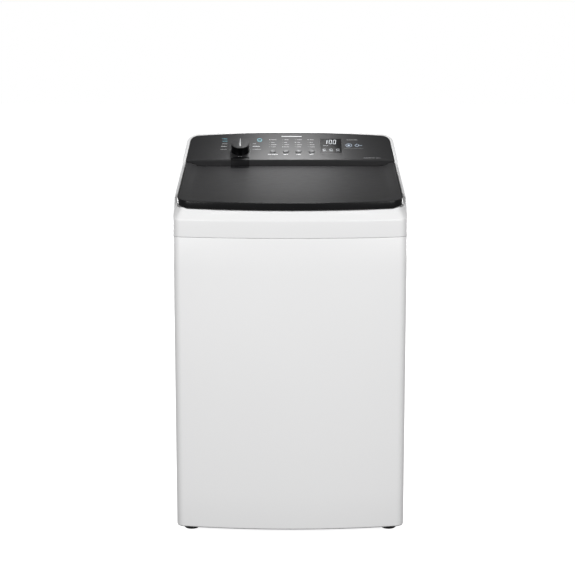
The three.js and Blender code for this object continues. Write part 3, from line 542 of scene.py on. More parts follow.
def cabinet():
    outer = bow_u(HALF, BACK, CORNER, 0, NS, NC, NF)
    inner = bow_u(HALF - 1.0, BACK, CORNER - 1.0, 1.0, NS, NC, NF)
    deep = bow_u(HALF - 16, BACK, 12, 16, NS, NC, NF)
    hem = bow_u(HALF - 2.2, BACK, CORNER - 2.2, 2.2, NS, NC, NF)
    secs = []
    for o, i, d, h in zip(outer, inner, deep, hem):
        o, i, d, h = map(np.array, (o, i, d, h))
        at = lambda t, z: (*(mix(o, i, t)), z)
        dd = lambda t, z: (*(mix(o, d, t)), z)
        s = []
        # folded bottom return, rolled edge, wall, rolled top with a return flange
        s.append(dd(1.0, CAB0 + 1.0)); s.append(dd(1.0, CAB0))
        for k in range(6):
            a = math.pi / 2 * k / 5
            s.append(dd(5.0 / 16 * (1 - math.sin(a)), CAB0 + 5.0 * (1 - math.cos(a))))
        for z in (120, 260, 420, 580, 740): s.append((*o, z))
        for k in range(5):
            a = math.pi / 2 * k / 4
            s.append(dd(1.8 / 16 * (1 - math.cos(a)), CAB1 - 1.8 * (1 - math.sin(a))))
        s.append(dd(0.9, CAB1)); s.append(dd(0.9, CAB1 - 1.0)); s.append(dd(1.0 / 16, CAB1 - 1.0))
        s.append(at(1.0, CAB1 - 2.0)); s.append(at(1.0, 420)); s.append(at(1.0, CAB0 + 6.0))
        s.append(dd(5.0 / 16, CAB0 + 1.0))
        secs.append(s)
    return loft(secs, ring=False, wrap=True, caps=True)


obj_from("cabinet_shell", *cabinet(), M["enamel"], "cabinet", ("cabinet_wrap",), 40, "cabinet_enamel")

# ================================================================ top cover
def top_cover():
    g = 1.0
    outer = bow_u(HALF, LIP_Y + 1.5, CORNER, 0, NS, NC, NF)
    pocket = bow_u(LID_HALF + g, LIP_Y + 1.5, LID_CORNER + g, LID_INSET - g, NS, NC, NF)
    secs = []
    for o, q in zip(outer, pocket):
        o, q = np.array(o), np.array(q)
        w = float(np.linalg.norm(q - o))
        cz = crest_z(o[1])
        wrap_up = 9.0 * sm(240, 298, abs(q[0])) * (1 - sm(-285, -225, q[1]))      # the rim wraps up round the lid's corners
        zq = min(rim_z(q[1]) + 0.6 * wrap_up, cz + 25 / 18 * max(0, depth_in(*q) - 1.5) + wrap_up)
        fl = pocket_floor(*q)
        zq = max(zq, fl + 1.0) if q[1] > -300 else zq
        line = [(3.0, COV0), (1.2, COV0), (0.0, COV0 + 1.2), (0.0, cz - 14), (0.0, cz), (max(w - 0.01, 1), zq), (w, fl - 0.4), (w, fl - 2.9), (w - 2.6, fl - 3.2), (3.0, cz - 6)]
        rad = [0, 0.9, 0.9, 0, 7.0, 2.2, 0, 0, 0, 0]
        pr = section(line, rad, 6)
        u = (q - o) / w
        secs.append([(o[0] + u[0] * a, o[1] + u[1] * a, z) for a, z in pr])
    return loft(secs, ring=False, wrap=True, caps=True)


def closed_pocket(g, n_back=60):
    """The pocket outline as a closed loop."""
    u = bow_u(LID_HALF + g, LID_BACK + 7.5, LID_CORNER + g, LID_INSET - g, NS, NC, NF)
    b = [(mix(u[-1][0], u[0][0], i / n_back), LID_BACK + 7.5) for i in range(1, n_back)]
    return u + b


def opening_at(angle):
    r, back = 235.0, 98.0
    c, s = math.cos(angle), math.sin(angle)
    x, y = r * c, TUB_Y + r * s
    if y > back:
        t = (back - TUB_Y) / s
        x, y = t * c, back
    return x, y


def pocket_part():
    loop = closed_pocket(0.6)
    secs = []
    for x, y in loop:
        a = math.atan2(y - TUB_Y, x)
        # the opening's point in the same direction, with its back corners eased
        ox, oy = opening_at(a)
        o, q = np.array((x, y)), np.array((ox, oy))
        d = q - o
        w = float(np.linalg.norm(d)); u = d / w
        f = lambda t: pocket_floor(*(o + u * t))
        roll = 6.0
        s = [(*(o + u * t), f(t)) for t in np.linspace(0, w - roll, 6)]
        for k in range(1, 7):
            b = math.pi / 2 * k / 6
            s.append((*(o + u * (w - roll + roll * math.sin(b))), f(w) - roll * (1 - math.cos(b))))
        s.append((*(o + u * w), 862)); s.append((*(o + u * (w - 1.0)), 858.5)); s.append((*(o + u * (w - 2.6)), 858.5))
        s.append((*(o + u * (w - 3.0)), 862)); s.append((*(o + u * (w - 3.0)), f(w) - roll - 3))
        s.append((*(o + u * (w - 9.0)), f(w - 9) - 3.2))
        s += [(*(o + u * t), f(t) - 3.2) for t in np.linspace(w - 20 if w > 40 else w * 0.5, 0, 4)]
        secs.append(s)
    return loft(secs, ring=True, wrap=True)


def rear_deck():
    """Side walls and deck behind the lid, between the outline and the console housing."""
    inner = console_u(6.0, 10, 10, 40, LIP_Y - 1)
    outer = []
    L = [(HALF, y) for y in np.linspace(LIP_Y - 1, BACK - 6, 15)]
    L += [(HALF - 6 + 6 * math.cos(a), BACK - 6 + 6 * math.sin(a)) for a in np.linspace(0, math.pi / 2, 6)[1:]]
    n = len(inner)
    half_n = n // 2
    xs = np.linspace(L[-1][0], 0, half_n + 1 - len(L) + 1)[1:]
    R = L + [(x, BACK) for x in xs]
    R = R[: half_n + 1]
    outer = R[:half_n] + ([(0.0, BACK)] if n % 2 else []) + [(-x, y) for x, y in reversed(R[:half_n])]
    secs = []
    for o, q in zip(outer, inner):
        o, q = np.array(o), np.array(q)
        w = float(np.linalg.norm(q - o)) or 1.0
        u = (q - o) / w
        zt = DECK
        line = [(2.6, COV0), (0.8, COV0), (0, COV0 + 0.8), (0, zt), (w, zt), (w, zt - 3), (2.6, zt - 3)]
        pr = section(line, [0, 0.6, 0.6, 3.0, 0, 0, 0], 4)
        secs.append([(o[0] + u[0] * a, o[1] + u[1] * a, z) for a, z in pr])
    return loft(secs, ring=False, wrap=True, caps=True)


def console_housing():
    outer = console_u(9.6, 14, 12, 60, LIP_Y - 2)
    inner = console_u(0.6, 14, 12, 60, LIP_Y - 2)
    secs = []
    for o, q in zip(outer, inner):
        o, q = np.array(o), np.array(q)
        w = float(np.linalg.norm(q - o)); u = (q - o) / w
        zo, zi = face_z(o[1]) - 2.2, face_z(q[1]) - 0.9
        line = [(0, DECK - 2), (0, zo), (w, zi), (w, zi - 6), (3.2, zi - 9), (3.2, DECK - 2)]
        pr = section(line, [0, 3.2, 1.2, 0, 0, 0], 6)
        # below the lip the side walls stay full width so that they meet the rims
        s = []
        for a, z in pr:
            s.append((o[0] + u[0] * a, o[1] + u[1] * a, z))
        secs.append(s)
    return loft(secs, ring=False, wrap=True, caps=True)


obj_from("top_cover_skin", *top_cover(), M["cover"], "cabinet", ("top_cover",), 40, "cover_white")
pocket = obj_from("top_cover_pocket", *pocket_part(), M["cover"], "cabinet", (), 40, "cover_white")
cut(pocket, box(-166, -24, 84, 112, 865, 898.5), box(252.5, 281.5, -206.5, -183.5, 870, 960))
deck = obj_from("top_cover_deck", *rear_deck(), M["cover"], "cabinet", (), 40, "cover_white")
cut(deck, prism(circle(170, 300, 13.6, 40), 880, 930), prism(circle(230, 300, 13.6, 40), 880, 930))
housing = obj_from("console_housing", *console_housing(), M["cover"], "cabinet", (), 40, "cover_white")
cut(housing, box(-270, 270, 213, 300, 915, 1020))

# ================================================================ lid
def lid_outline(g=0.0, nside=44, nb=60, back=None):
    back = LID_BACK + g if back is None else back
    u = bow_u(LID_HALF + g, back - 4, LID_CORNER + g, LID_INSET - g, nside, NC, NF)
    r, h = 4.0, LID_HALF + g
    right = [(h - r + r * math.cos(a), back - r + r * math.sin(a)) for a in np.linspace(math.pi / 2, 0, 5)[:-1]]
    left = [(-x, y) for x, y in reversed(right)]
    x0 = h - r
    b = [(mix(-x0, x0, i / nb), back) for i in range(1, nb)]
    return right + u + left + b


def lid_shell():
    out = lid_outline(0.0)
    secs = []
    c = np.array((0.0, -100.0))
    P = np.array(out)
    d = np.roll(P, -1, 0) - np.roll(P, 1, 0)
    nrm = np.stack([-d[:, 1], d[:, 0]], 1); nrm /= np.linalg.norm(nrm, axis=1)[:, None]
    if float(((P - c) * nrm).sum()) > 0: nrm = -nrm      # inwards
    for (x, y), n in zip(out, nrm):
        zt, zb = lid_top(x, y), lid_bottom(x, y) + 3.0 * sm(262, 304, abs(x))
        rear = y > LID_BACK - 6
        line = [(0, zb), (0, zt - 0.1), (3.1, zt - 0.35), (3.1, zt - 3.6), (26, zt - 4.4), (26, zb)]
        if rear:
            line = [(11, zb + 0.5), (0, zb + 9), (0, zt - 0.1), (3.1, zt - 0.35), (3.1, zt - 3.6), (26, zt - 4.4), (26, zb)]
            pr = section(line, [1.5, 3.0, 1.5, 0.4, 0, 0, 1.5], 4)
        else:
            line.insert(0, (4, zb))
            pr = section(line, [1.0, 2.0, 2.4, 0.5, 0, 0, 1.5], 4)
        sec = []
        for a, z in pr:
            px, py = x + n[0] * a, y + n[1] * a
            if a > 3.3: z = min(z, lid_top(px, py) - 4.2) if z > zb + 6 else max(z, lid_bottom(px, py))
            sec.append((px, py, z))
        secs.append(sec)
    return loft(secs, ring=True, wrap=True)


def lid_panel():
    """The top skin on a grid whose columns follow the side ramps and whose rows follow the bowed front."""
    g = 3.3
    half, r, R, cy, back = LID_HALF - g, LID_CORNER - g, BOW - LID_INSET - g, FRONT + BOW, LID_BACK - g
    fx = half - r
    fy = cy - math.sqrt((R - r) ** 2 - fx ** 2)
    a = math.atan2(fy - cy, fx)
    xa = fx + r * math.cos(a)

    def front(x):
        x = abs(x)
        return cy - math.sqrt(R * R - x * x) if x <= xa else fy - math.sqrt(max(0.0, r * r - (x - fx) ** 2))
    pos = list(np.linspace(0, xa, 24))[:-1] + [fx + r * math.cos(t) for t in np.linspace(a, 0, 26)]
    xs = [-x for x in reversed(pos[1:])] + pos
    ts = [0, 0.0035, 0.012, 0.03, 0.07] + list(np.linspace(0.13, 0.93, 15)) + [0.97, 0.988, 0.996, 1.0]
    nx, nt = len(xs), len(ts)
    V = []
    for side in (0, 1):
        for t in ts:
            for x in xs:
                rear = back - max(0.0, abs(x) - (half - 3.0)) * 0.9
                y = mix(front(x), rear, t)
                drop = 0.4 if (t in (0, 1.0) or abs(x) > half - 0.01) else 0.0
                V.append((x, y, lid_top(x, y) - (3.4 if side else drop)))
    F = []
    for k in (0, nx * nt):
        for j in range(nt - 1):
            for i in range(nx - 1):
                q = k + j * nx + i
                F.append((q, q + 1, q + nx + 1, q + nx))
    rim = [(0, i) for i in range(nx)] + [(j, nx - 1) for j in range(1, nt)] + [(nt - 1, i) for i in range(nx - 2, -1, -1)] + [(j, 0) for j in range(nt - 2, 0, -1)]
    for (j0, i0), (j1, i1) in zip(rim, rim[1:] + rim[:1]):
        p, q = j0 * nx + i0, j1 * nx + i1
        F.append((p, q, q + nx * nt, p + nx * nt))
    return V, F


def fill_ends(ob):
    bm = bmesh.new()
    bm.from_mesh(ob.data)
    left = {e for e in bm.edges if e.is_boundary}
    while left:                                   # each open loop gets a fan to its middle
        e = left.pop()
        loop, start = [e.verts[0], e.verts[1]], e.verts[0]
        while loop[-1] is not start:
            nxt = next((x for x in loop[-1].link_edges if x in left), None)
            if nxt is None: break
            left.discard(nxt)
            loop.append(nxt.other_vert(loop[-1]))
        if loop[-1] is start: loop.pop()
        mid = bm.verts.new(sum((v.co for v in loop), Vector()) / len(loop))
        for a, b in zip(loop, loop[1:] + loop[:1]):
            bm.faces.new((a, b, mid))
    bmesh.ops.recalc_face_normals(bm, faces=bm.faces)
    bm.to_mesh(ob.data)
    bm.free()
    ob.data.shade_smooth()
    ob.data.set_sharp_from_angle(angle=math.radians(35))


NOTCH = 26.9
notch_cut = prism(rounded([(KNOB_X - NOTCH, 84), (KNOB_X + NOTCH, 84), (KNOB_X + NOTCH, 140), (KNOB_X - NOTCH, 140)], [9, 9, 0.5, 0.5], 8), 900, 1020)
shell = obj_from("lid_edge_frame", *lid_shell(), M["fascia"], "lid", ("lid_frame",), 35, "gloss_black")
panel = obj_from("lid_top_panel", *lid_panel(), M["lid"], "lid", ("lid_glass",), 35, "lid_glass")
cut(panel, notch_cut)
cut(shell, prism(rounded([(KNOB_X - NOTCH, 84), (KNOB_X + NOTCH, 84), (KNOB_X + NOTCH, 140), (KNOB_X - NOTCH, 140)], [9, 9, 0.5, 0.5], 8), 962, 1020))


def grid_solid(outline, top, thick, ts=(0, 0.03, 0.1, 0.25, 0.5, 0.8), centre=None, edge=0.8):
    """A thin plate over an outline, its top at top(x, y), with an eased edge."""
    P = np.array(outline); c = P.mean(0) if centre is None else np.array(centre)
    secs = []
    for p in P:
        s = []
        for t in reversed(ts):
            q = p + (c - p) * t
            s.append((*q, top(*q) - thick))
        for t in ts:
            q = p + (c - p) * t
            s.append((*q, top(*q) - (edge if t == 0 else 0.0)))
        secs.append(s)
    return loft(secs, ring=True, wrap=False)


def plate(name, outline, top, thick, mat, body, replaces=(), slot=None, edge=0.6, centre=None):
    ob = obj_from(name, *grid_solid(outline, top, thick, edge=edge, centre=centre), mat, body, replaces, 35, slot)
    fill_ends(ob)
    return ob


notch_line = rounded([(KNOB_X - NOTCH - 0.3, 83.7), (KNOB_X + NOTCH + 0.3, 83.7), (KNOB_X + NOTCH + 0.3, LID_BACK - 0.3), (KNOB_X - NOTCH - 0.3, LID_BACK - 0.3)], [9.2, 9.2, 1.5, 1.5], 8)
plate("lid_finger_notch", notch_line, lambda x, y: lid_top(x, y) - 0.8 - 2.2 * sm(86, 104, y) * (1 - ((x - KNOB_X) / 27) ** 2), 8, M["recess"], "lid", ("lid_notch_trim",), "gloss_black")


def lid_liner():
    """The moulded inner tray under the lid: a raised border, a sunk field and cross ribs."""
    n = 25
    xs = np.linspace(-270, 270, 55); ys = np.linspace(-277, 77, 37)
    def inside(x, y):
        d = min(270 - abs(x), 77 - y, y + 277 + 22 * (x / 270) ** 2 * -1 + 22 * 0)
        return d
    V, F = [], []
    for k, off in enumerate((0, 1)):
        for y in ys:
            for x in xs:
                # the bowed front pulls the border in at the sides
                yy = mix(y, y + 22.0 * (x / 270) ** 2 * (77 - y) / 354, 1.0)
                d = min(270 - abs(x), 77 - yy, yy - (-277 + 22.0 * (x / 270) ** 2))
                low = lid_bottom(x, yy) + 1.6
                sunk = 9.0 * sm(8, 20, d)
                rib = 5.0 * max(0, 1 - abs(abs(x) - 90) / 7.0) * sm(20, 40, d)
                z = low + sunk - rib if off == 0 else lid_bottom(x, yy) + 13.5
                V.append((x, yy, z))
    nx, ny = len(xs), len(ys)
    for k in (0, 1):
        for j in range(ny - 1):
            for i in range(nx - 1):
                a = k * nx * ny + j * nx + i
                F.append((a, a + 1, a + nx + 1, a + nx))
    rim = [(0, i) for i in range(nx)] + [(j, nx - 1) for j in range(1, ny)] + [(ny - 1, i) for i in range(nx - 2, -1, -1)] + [(j, 0) for j in range(ny - 2, 0, -1)]
    for (j0, i0), (j1, i1) in zip(rim, rim[1:] + rim[:1]):
        a, b = j0 * nx + i0, j1 * nx + i1
        F.append((a, b, b + nx * ny, a + nx * ny))
    return V, F


tray = obj_from("lid_inner_tray", *lid_liner(), M["dark"], "lid", ("lid_liner",), 35, "dark_plastic")
cut(tray, box(260.5, 290, -202, -188, 880, 980))
# rubber stops under the lid's front corners
for i, x in enumerate((-250, 250)):
    obj_from("lid_stop_%d" % (i + 1), *turned([(0, lid_bottom(x, -262) + 3), (7, lid_bottom(x, -262) + 3), (7, lid_bottom(x, -262) - 0.8), (5.4, lid_bottom(x, -262) - 1.9), (0, lid_bottom(x, -262) - 1.9)], 24, x, -262), M["rubber"], "lid", slot="rubber")

# ================================================================ console
def console_outline(g=0.0, nf=60):
    u = console_u(g, 14, 12, 60, LIP_Y)
    x0 = u[0][0]
    return u + [(mix(-x0, x0, i / nf), LIP_Y) for i in range(1, nf)]


def console_part():
    out = console_outline(0.0)
    P = np.array(out)
    d = np.roll(P, -1, 0) - np.roll(P, 1, 0)
    nrm = np.stack([-d[:, 1], d[:, 0]], 1); nrm /= np.linalg.norm(nrm, axis=1)[:, None]
    if float(((P - np.array((0, 180.0))) * nrm).sum()) > 0: nrm = -nrm
    c = np.array((0.0, 180.0))
    secs = []
    ts = (0.04, 0.12, 0.3, 0.55, 0.8)
    nfront = len(out) - 59
    for i, ((x, y), n) in enumerate(zip(out, nrm)):
        front = i >= nfront or i == 0 or i == nfront - 1
        zf = face_z(y)
        r = 2.6
        if i == 0 or i == nfront - 1:
            n = np.array((0.0, 1.0)) * 0.7 + np.array((-1.0 if x > 0 else 1.0, 0.0)) * 0.7
        bot = 957.2 if front else zf - 4.0
        lean = 2.0 if front else 0.0
        s = []
        p = np.array((x, y))
        for t in reversed(ts):
            q = p + (c - p) * t
            s.append((*q, face_z(q[1]) - 4.0))
        s.append((*(p + n * (lean + 4.2)), (zf if front else zf) - 4.2))
        s.append((*(p + n * (lean + 3.4)), bot))
        s.append((*(p + n * lean), bot))
        s.append((*(p + n * lean * 0.15), zf - 6 if front else bot + 0.4))
        for k in range(6):
            a = math.pi / 2 * k / 5
            s.append((*(p + n * (r * (1 - math.cos(a)))), face_z(y + n[1] * r * (1 - math.cos(a))) - r * (1 - math.sin(a))))
        for t in ts:
            q = p + (c - p) * t
            s.append((*q, face_z(q[1])))
        secs.append(s)
    return loft(secs, ring=True, wrap=False)


def arch(g, low=-40.0, up=9.0):
    w = NOTCH + g
    pts = [(KNOB_X + w, low), (KNOB_X + w, up)]
    pts += [(KNOB_X + w * math.cos(math.pi * i / 16), up + (7.5 + g) * math.sin(math.pi * i / 16)) for i in range(1, 16)]
    pts += [(KNOB_X - w, up), (KNOB_X - w, low)]
    return pts


console = obj_from("console_face", *console_part(), M["console"], "cabinet", ("console_panel",), 35, "console_grey")
fill_ends(console)
cut(console, on_face(prism(arch(0.3, -38.0), -55, 20)))
cut(console,
    on_face(prism(circle(KNOB_X, KNOB_V, 5.2, 32), -20, 20)),
    *[on_face(prism(circle(x, BUTTON_V, BUTTON_R + 0.35, 40), -20, 20)) for x in BUTTONS],
    on_face(prism(rounded([(DISP_X - DISP_W / 2 - 0.3, DISP_V0 - 0.3), (DISP_X + DISP_W / 2 + 0.3, DISP_V0 - 0.3), (DISP_X + DISP_W / 2 + 0.3, DISP_V1 + 0.3), (DISP_X - DISP_W / 2 - 0.3, DISP_V1 + 0.3)], 2.3, 5), -20, 20)))


def face_obj(name, part, mat, body="cabinet", replaces=(), slot=None, smooth=35.0):
    v, f = on_face(part)
    return obj_from(name, v, f, mat, body, replaces, smooth, slot)


# finger recess: sunk gloss floor on the face, and the sunk front wall
recess = join(on_face(prism(arch(0.6, 1.5), -5.6, -1.2, 0.4)),
              prism(rounded([(KNOB_X - NOTCH - 0.6, LIP_Y + 1.4), (KNOB_X + NOTCH + 0.6, LIP_Y + 1.4), (KNOB_X + NOTCH + 0.6, LIP_Y + 6.4), (KNOB_X - NOTCH - 0.6, LIP_Y + 6.4)], 0.6, 4), 957.6, LIP_Z - 2.4, 0.4))
obj_from("dial_finger_recess", *recess, M["recess"], "cabinet", ("dial_recess",), 35, "gloss_black")

face_obj("display_glass", prism(rounded([(DISP_X - DISP_W / 2, DISP_V0), (DISP_X + DISP_W / 2, DISP_V0), (DISP_X + DISP_W / 2, DISP_V1), (DISP_X - DISP_W / 2, DISP_V1)], 2.0, 5), -2.6, 0.25, 0.5), M["disc"], replaces=("display_window",), slot="display_glass")

# ---- dial
def face_turned(rz, seg, x, v):
    return on_face(turned(rz, seg, x, v))


knob_side = face_turned([(24.2, 1.0), (26.0, 1.0), (26.7, 1.8), (26.7, 4.0), (26.3, 5.0), (26.0, 24.6), (25.6, 25.0), (4, 25.0), (4, -13.4), (2.5, -13.4), (2.5, 20.0), (22.4, 20.0), (23.6, 18.5)], 96, KNOB_X, KNOB_V)
obj_from("dial_body", *knob_side, M["black_gloss"], "dial", ("dial_knob",), 30, "gloss_black")
M["knob_top"] = brushed("dial_cap_metallic", (0.034, 0.034, 0.035), 0.5, 0.05, (0.04, 1, 1), 0.12, 0.00001, (0.9, 1.1), spec=0.12)
cap = face_turned([(0.01, 24.4), (25.4, 24.4), (25.9, 25.0), (25.9, 26.0), (25.3, 26.7), (24.4, 27.0), (0.01, 27.2)], 96, KNOB_X, KNOB_V)
obj_from("dial_cap", *cap, M["knob_top"], "dial", (), 30, "console_grey")
M["pointer"] = finish_mat("pointer_grey", (0.32, 0.325, 0.33), 0.45, 0.1, grain=900, var=0.03, rvar=0.04, bstr=0.05, spec=0.3)
kx, kv = KNOB_X, KNOB_V
wedge = rounded([(kx - 0.6, kv + 24.2), (kx - 2.3, kv - 14.0), (kx, kv - 18.0), (kx + 2.3, kv - 14.0), (kx + 0.6, kv + 24.2)], [0.3, 0.6, 0.6, 0.6, 0.3], 3)
face_obj("dial_pointer", prism(wedge, 26.8, 27.9, 0.3), M["pointer"], "dial", (), "console_grey")

# ---- option buttons with ring bezels
M["key"] = finish_mat("key_grey", (0.060, 0.061, 0.063), 0.42, 0.1, grain=900, var=0.03, rvar=0.04, bstr=0.05, spec=0.35)
M["ring"] = finish_mat("ring_grey", (0.008, 0.008, 0.009), 0.5, 0.0, grain=900, var=0.03, rvar=0.04, bstr=0.05, spec=0.2)
for i, x in enumerate(BUTTONS):
    b = face_turned([(0, 1.1), (4.5, 1.25), (6.4, 1.7), (7.1, 1.75), (7.7, 1.2), (7.7, -2.0), (3, -2.2), (3, -13.0), (0, -13.0)], 48, x, BUTTON_V)
    obj_from("option_key_%d" % (i + 1), *b, M["key"], "button_%d" % (i + 1), ("option_button_%d" % (i + 1),), 35, "console_grey")
    ring = face_turned([(8.15, -0.4), (9.0, -0.4), (9.15, 0.12), (8.85, 0.42), (8.45, 0.42), (8.15, 0.12)], 48, x, BUTTON_V)
    obj_from("key_ring_%d" % (i + 1), *ring, M["ring"], "cabinet", (), 35, "console_grey")

# ---- printed marks: short strokes in rows, dots, and plain symbols, no lettering
rng = np.random.default_rng(7)


def strokes(x0, x1, v, h):
    """A row of glyph-sized strokes that fills x0..x1."""
    parts, x = [], x0
    while x < x1 - 0.5:
        w = float(rng.uniform(0.8, 1.6)); w = min(w, x1 - x)
        hh = h * float(rng.choice([0.72, 0.72, 1.0, 0.85]))
        parts.append(prism([(x, v), (x + w, v), (x + w, v + hh), (x, v + hh)], 0.02, 0.12))
        x += w + 0.38
        if rng.random() < 0.13: x += 0.9
    return parts


def dot(x, v, r, n=16): return prism(circle(x, v, r, n), 0.02, 0.14)


def line(x0, v0, x1, v1, w):
    a = np.array((x0, v0)); b = np.array((x1, v1)); u = (b - a) / np.linalg.norm(b - a); n = np.array((-u[1], u[0])) * w / 2
    return prism([tuple(a - n), tuple(b - n), tuple(b + n), tuple(a + n)], 0.02, 0.14)


def arc_mark(x, v, r, w, a0, a1, n=20):
    pts = [(x + (r + w / 2) * math.cos(mix(a0, a1, i / n)), v + (r + w / 2) * math.sin(mix(a0, a1, i / n))) for i in range(n + 1)]
    pts += [(x + (r - w / 2) * math.cos(mix(a1, a0, i / n)), v + (r - w / 2) * math.sin(mix(a1, a0, i / n))) for i in range(n + 1)]
    return prism(pts, 0.02, 0.14)


white, dim, teal, blue = [], [], [], []
ROWS = (107.0, 92.5, 80.0, 68.5)
LIT = {0: (0,), 1: (3,), 2: (1,), 3: (0,)}
for c, x in enumerate(BUTTONS):
    for r, v in enumerate(ROWS):
        w = (13, 9, 14, 15)[r] if c % 2 else (15, 10, 15, 13)[r]
        dim += strokes(x - 5, x - 5 + w, v - 1.5, 3.0)
        (white if r in LIT[c] else dim).append(dot(x - 9.5, v, 1.25 if r in LIT[c] else 0.8))
    w = (28, 13, 14, 10)[c]
    white += strokes(x - w / 2, x + w / 2, BUTTON_V - 16.5, 3.4)
    dim += []
# programme marks on both sides of the dial
for v, w, k in ((112, 15, 0), (99, 14, 0), (85, 15, 1), (71, 17, 2), (55, 19, 1)):
    (teal if k == 0 else (white if k == 2 else dim)).extend(strokes(KNOB_X - 40 - w, KNOB_X - 40, v - 1.5, 3.1))
for v, w, k in ((112, 10, 0), (99, 12, 0), (85, 9, 1), (71, 22, 2), (55, 24, 1)):
    (teal if k == 0 else (white if k == 2 else dim)).extend(strokes(KNOB_X + 36 + (14 if k == 0 else 0), KNOB_X + 36 + w + (14 if k == 0 else 0), v - 1.5, 3.1))
teal.append(arc_mark(KNOB_X + 56, 106, 6.6, 1.3, 0.02, 2 * math.pi - 0.02, 40))
for a in range(-30, 211, 20):
    t = math.radians(a); r0 = 31.0
    dim.append(dot(KNOB_X + r0 * math.cos(t), KNOB_V + r0 * math.sin(t), 0.75, 12))
white.append(line(KNOB_X, KNOB_V + 28.5, KNOB_X, KNOB_V + 33.0, 1.1))
for dx in (-4.5, 0, 4.5): white.append(line(KNOB_X + dx, KNOB_V - 29.2, KNOB_X + dx, KNOB_V - 31.6, 1.0))
# plain bar in the middle at the top, and touch marks at the right
white.append(prism(rounded([(-26, 123.4), (34, 123.4), (34, 126.2), (-26, 126.2)], 1.3, 5), 0.02, 0.14))
dim += strokes(168, 200, 104.5, 3.0)
blue.append(arc_mark(173.5, 76, 8.6, 1.3, 0.02, 2 * math.pi - 0.02, 40))
blue.append(prism([(170.6, 71.2), (178.2, 76), (170.6, 80.8)], 0.02, 0.14))
blue.append(arc_mark(197.5, 76, 5.6, 1.5, math.radians(120), math.radians(420), 28))
blue.append(line(197.5, 77.5, 197.5, 84.5, 1.5))
blue += strokes(205, 213, 74.5, 3.0)
dim += [line(160, 60, 216, 60, 0.5)]
dim += strokes(216, 248, 8.0, 2.6) + strokes(252, 264, 8.0, 2.6)
for name, parts, mat in (("marks_pale", white, "ink"), ("marks_grey", dim, "ink_dim"), ("marks_teal", teal, "ink_teal"), ("marks_blue", blue, "ink_blue")):
    face_obj("console_" + name, join(*parts), M[mat], slot="console_grey", smooth=0)

# display digits: 1:00 in seven segments, with small symbols under them
def seg_digit(x, v, w, h, on, t=2.0, lean=0.12):
    S = {"a": (0, 1, 1, 1), "b": (1, 1, 1, 0.5), "c": (1, 0.5, 1, 0), "d": (0, 0, 1, 0), "e": (0, 0.5, 0, 0), "f": (0, 1, 0, 0.5), "g": (0, 0.5, 1, 0.5)}
    out = []
    for k in on:
        x0, y0, x1, y1 = S[k]
        a = np.array((x + x0 * w + y0 * h * lean, v + y0 * h)); b = np.array((x + x1 * w + y1 * h * lean, v + y1 * h))
        u = (b - a) / np.linalg.norm(b - a)
        a, b = a + u * t * 0.62, b - u * t * 0.62
        n = np.array((-u[1], u[0])) * t / 2
        out.append(prism([tuple(a - u * t * 0.45), tuple(a - n), tuple(b - n), tuple(b + u * t * 0.45), tuple(b + n), tuple(a + n)], 0.27, 0.36))
    return out


digits = seg_digit(102.5, 84, 5.5, 20, "bc", 1.3, 0.08) + seg_digit(115, 84, 7.0, 20, "abcdef", 1.3, 0.08) + seg_digit(127, 84, 7.0, 20, "abcdef", 1.3, 0.08)
digits += [prism(circle(111.6, 89.5, 0.9, 14), 0.27, 0.36), prism(circle(112.4, 98.5, 0.9, 14), 0.27, 0.36)]
face_obj("display_digits", join(*digits), M["led"], slot="display_glass", smooth=0)
small = []
for x in (101, 121, 141):
    small.append(([(a, b, c + 0.25) for a, b, c in arc_mark(x, 52, 4.4, 1.2, 0.5, 5.8, 20)[0]], arc_mark(x, 52, 4.4, 1.2, 0.5, 5.8, 20)[1]))
    for k in range(3):
        p = line(x - 4 + 4 * k, 44, x - 3 + 4 * k, 46.5, 0.9)
        small.append(([(a, b, c + 0.25) for a, b, c in p[0]], p[1]))
for k in range(5):
    p = line(99 + 3 * k, 73, 99.8 + 3 * k, 76, 1.0)
    small.append(([(a, b, c + 0.25) for a, b, c in p[0]], p[1]))
face_obj("display_symbols", join(*small), M["led_dim"], slot="display_glass", smooth=0)

# ================================================================ rear panel, service cover, console rear cover
def to_back(part):
    """Outlines drawn in x, z and raised along +Y."""
    return [(x, h, y) for x, y, h in part[0]], part[1]


def sheet(xs, zs, outer, inner):
    """A closed sheet between two surfaces y = f(x, z)."""
    nx, nz = len(xs), len(zs)
    V = [(x, outer(x, z), z) for z in zs for x in xs] + [(x, inner(x, z), z) for z in zs for x in xs]
    F = []
    for k in (0, nx * nz):
        for j in range(nz - 1):
            for i in range(nx - 1):
                a = k + j * nx + i
                F.append((a, a + 1, a + nx + 1, a + nx))
    rim = [(0, i) for i in range(nx)] + [(j, nx - 1) for j in range(1, nz)] + [(nz - 1, i) for i in range(nx - 2, -1, -1)] + [(j, 0) for j in range(nz - 2, 0, -1)]
    for (j0, i0), (j1, i1) in zip(rim, rim[1:] + rim[:1]):
        a, b = j0 * nx + i0, j1 * nx + i1
        F.append((a, b, b + nx * nz, a + nx * nz))
    return V, F


def lines(lo, hi, step, marks):
    pts = list(np.arange(lo, hi, step)) + [hi] + [m + d for m in marks for d in (-5, -2.5, 0, 2.5, 5)]
    pts = sorted(p for p in pts if lo <= p <= hi)
    out = [pts[0]]
    for p in pts[1:]:
        if p - out[-1] > 1.2: out.append(p)
    out[-1] = hi
    return out


BEADS = (165.0, 225.0, 285.0, 345.0)


def rear_press(x, z):
    d = min(286 - abs(x), z - 76, 728 - z)
    p = -3.0 * sm(0, 8, d)
    keep = sm(52, 36, math.hypot(x - 205, z - 95))
    for b in BEADS:
        p += 2.6 * sm(0, 1, 1 - abs(z - b) / 10.0) * sm(0, 10, 150 - x) * sm(0, 10, x + 240)
    return p * (1 - keep)


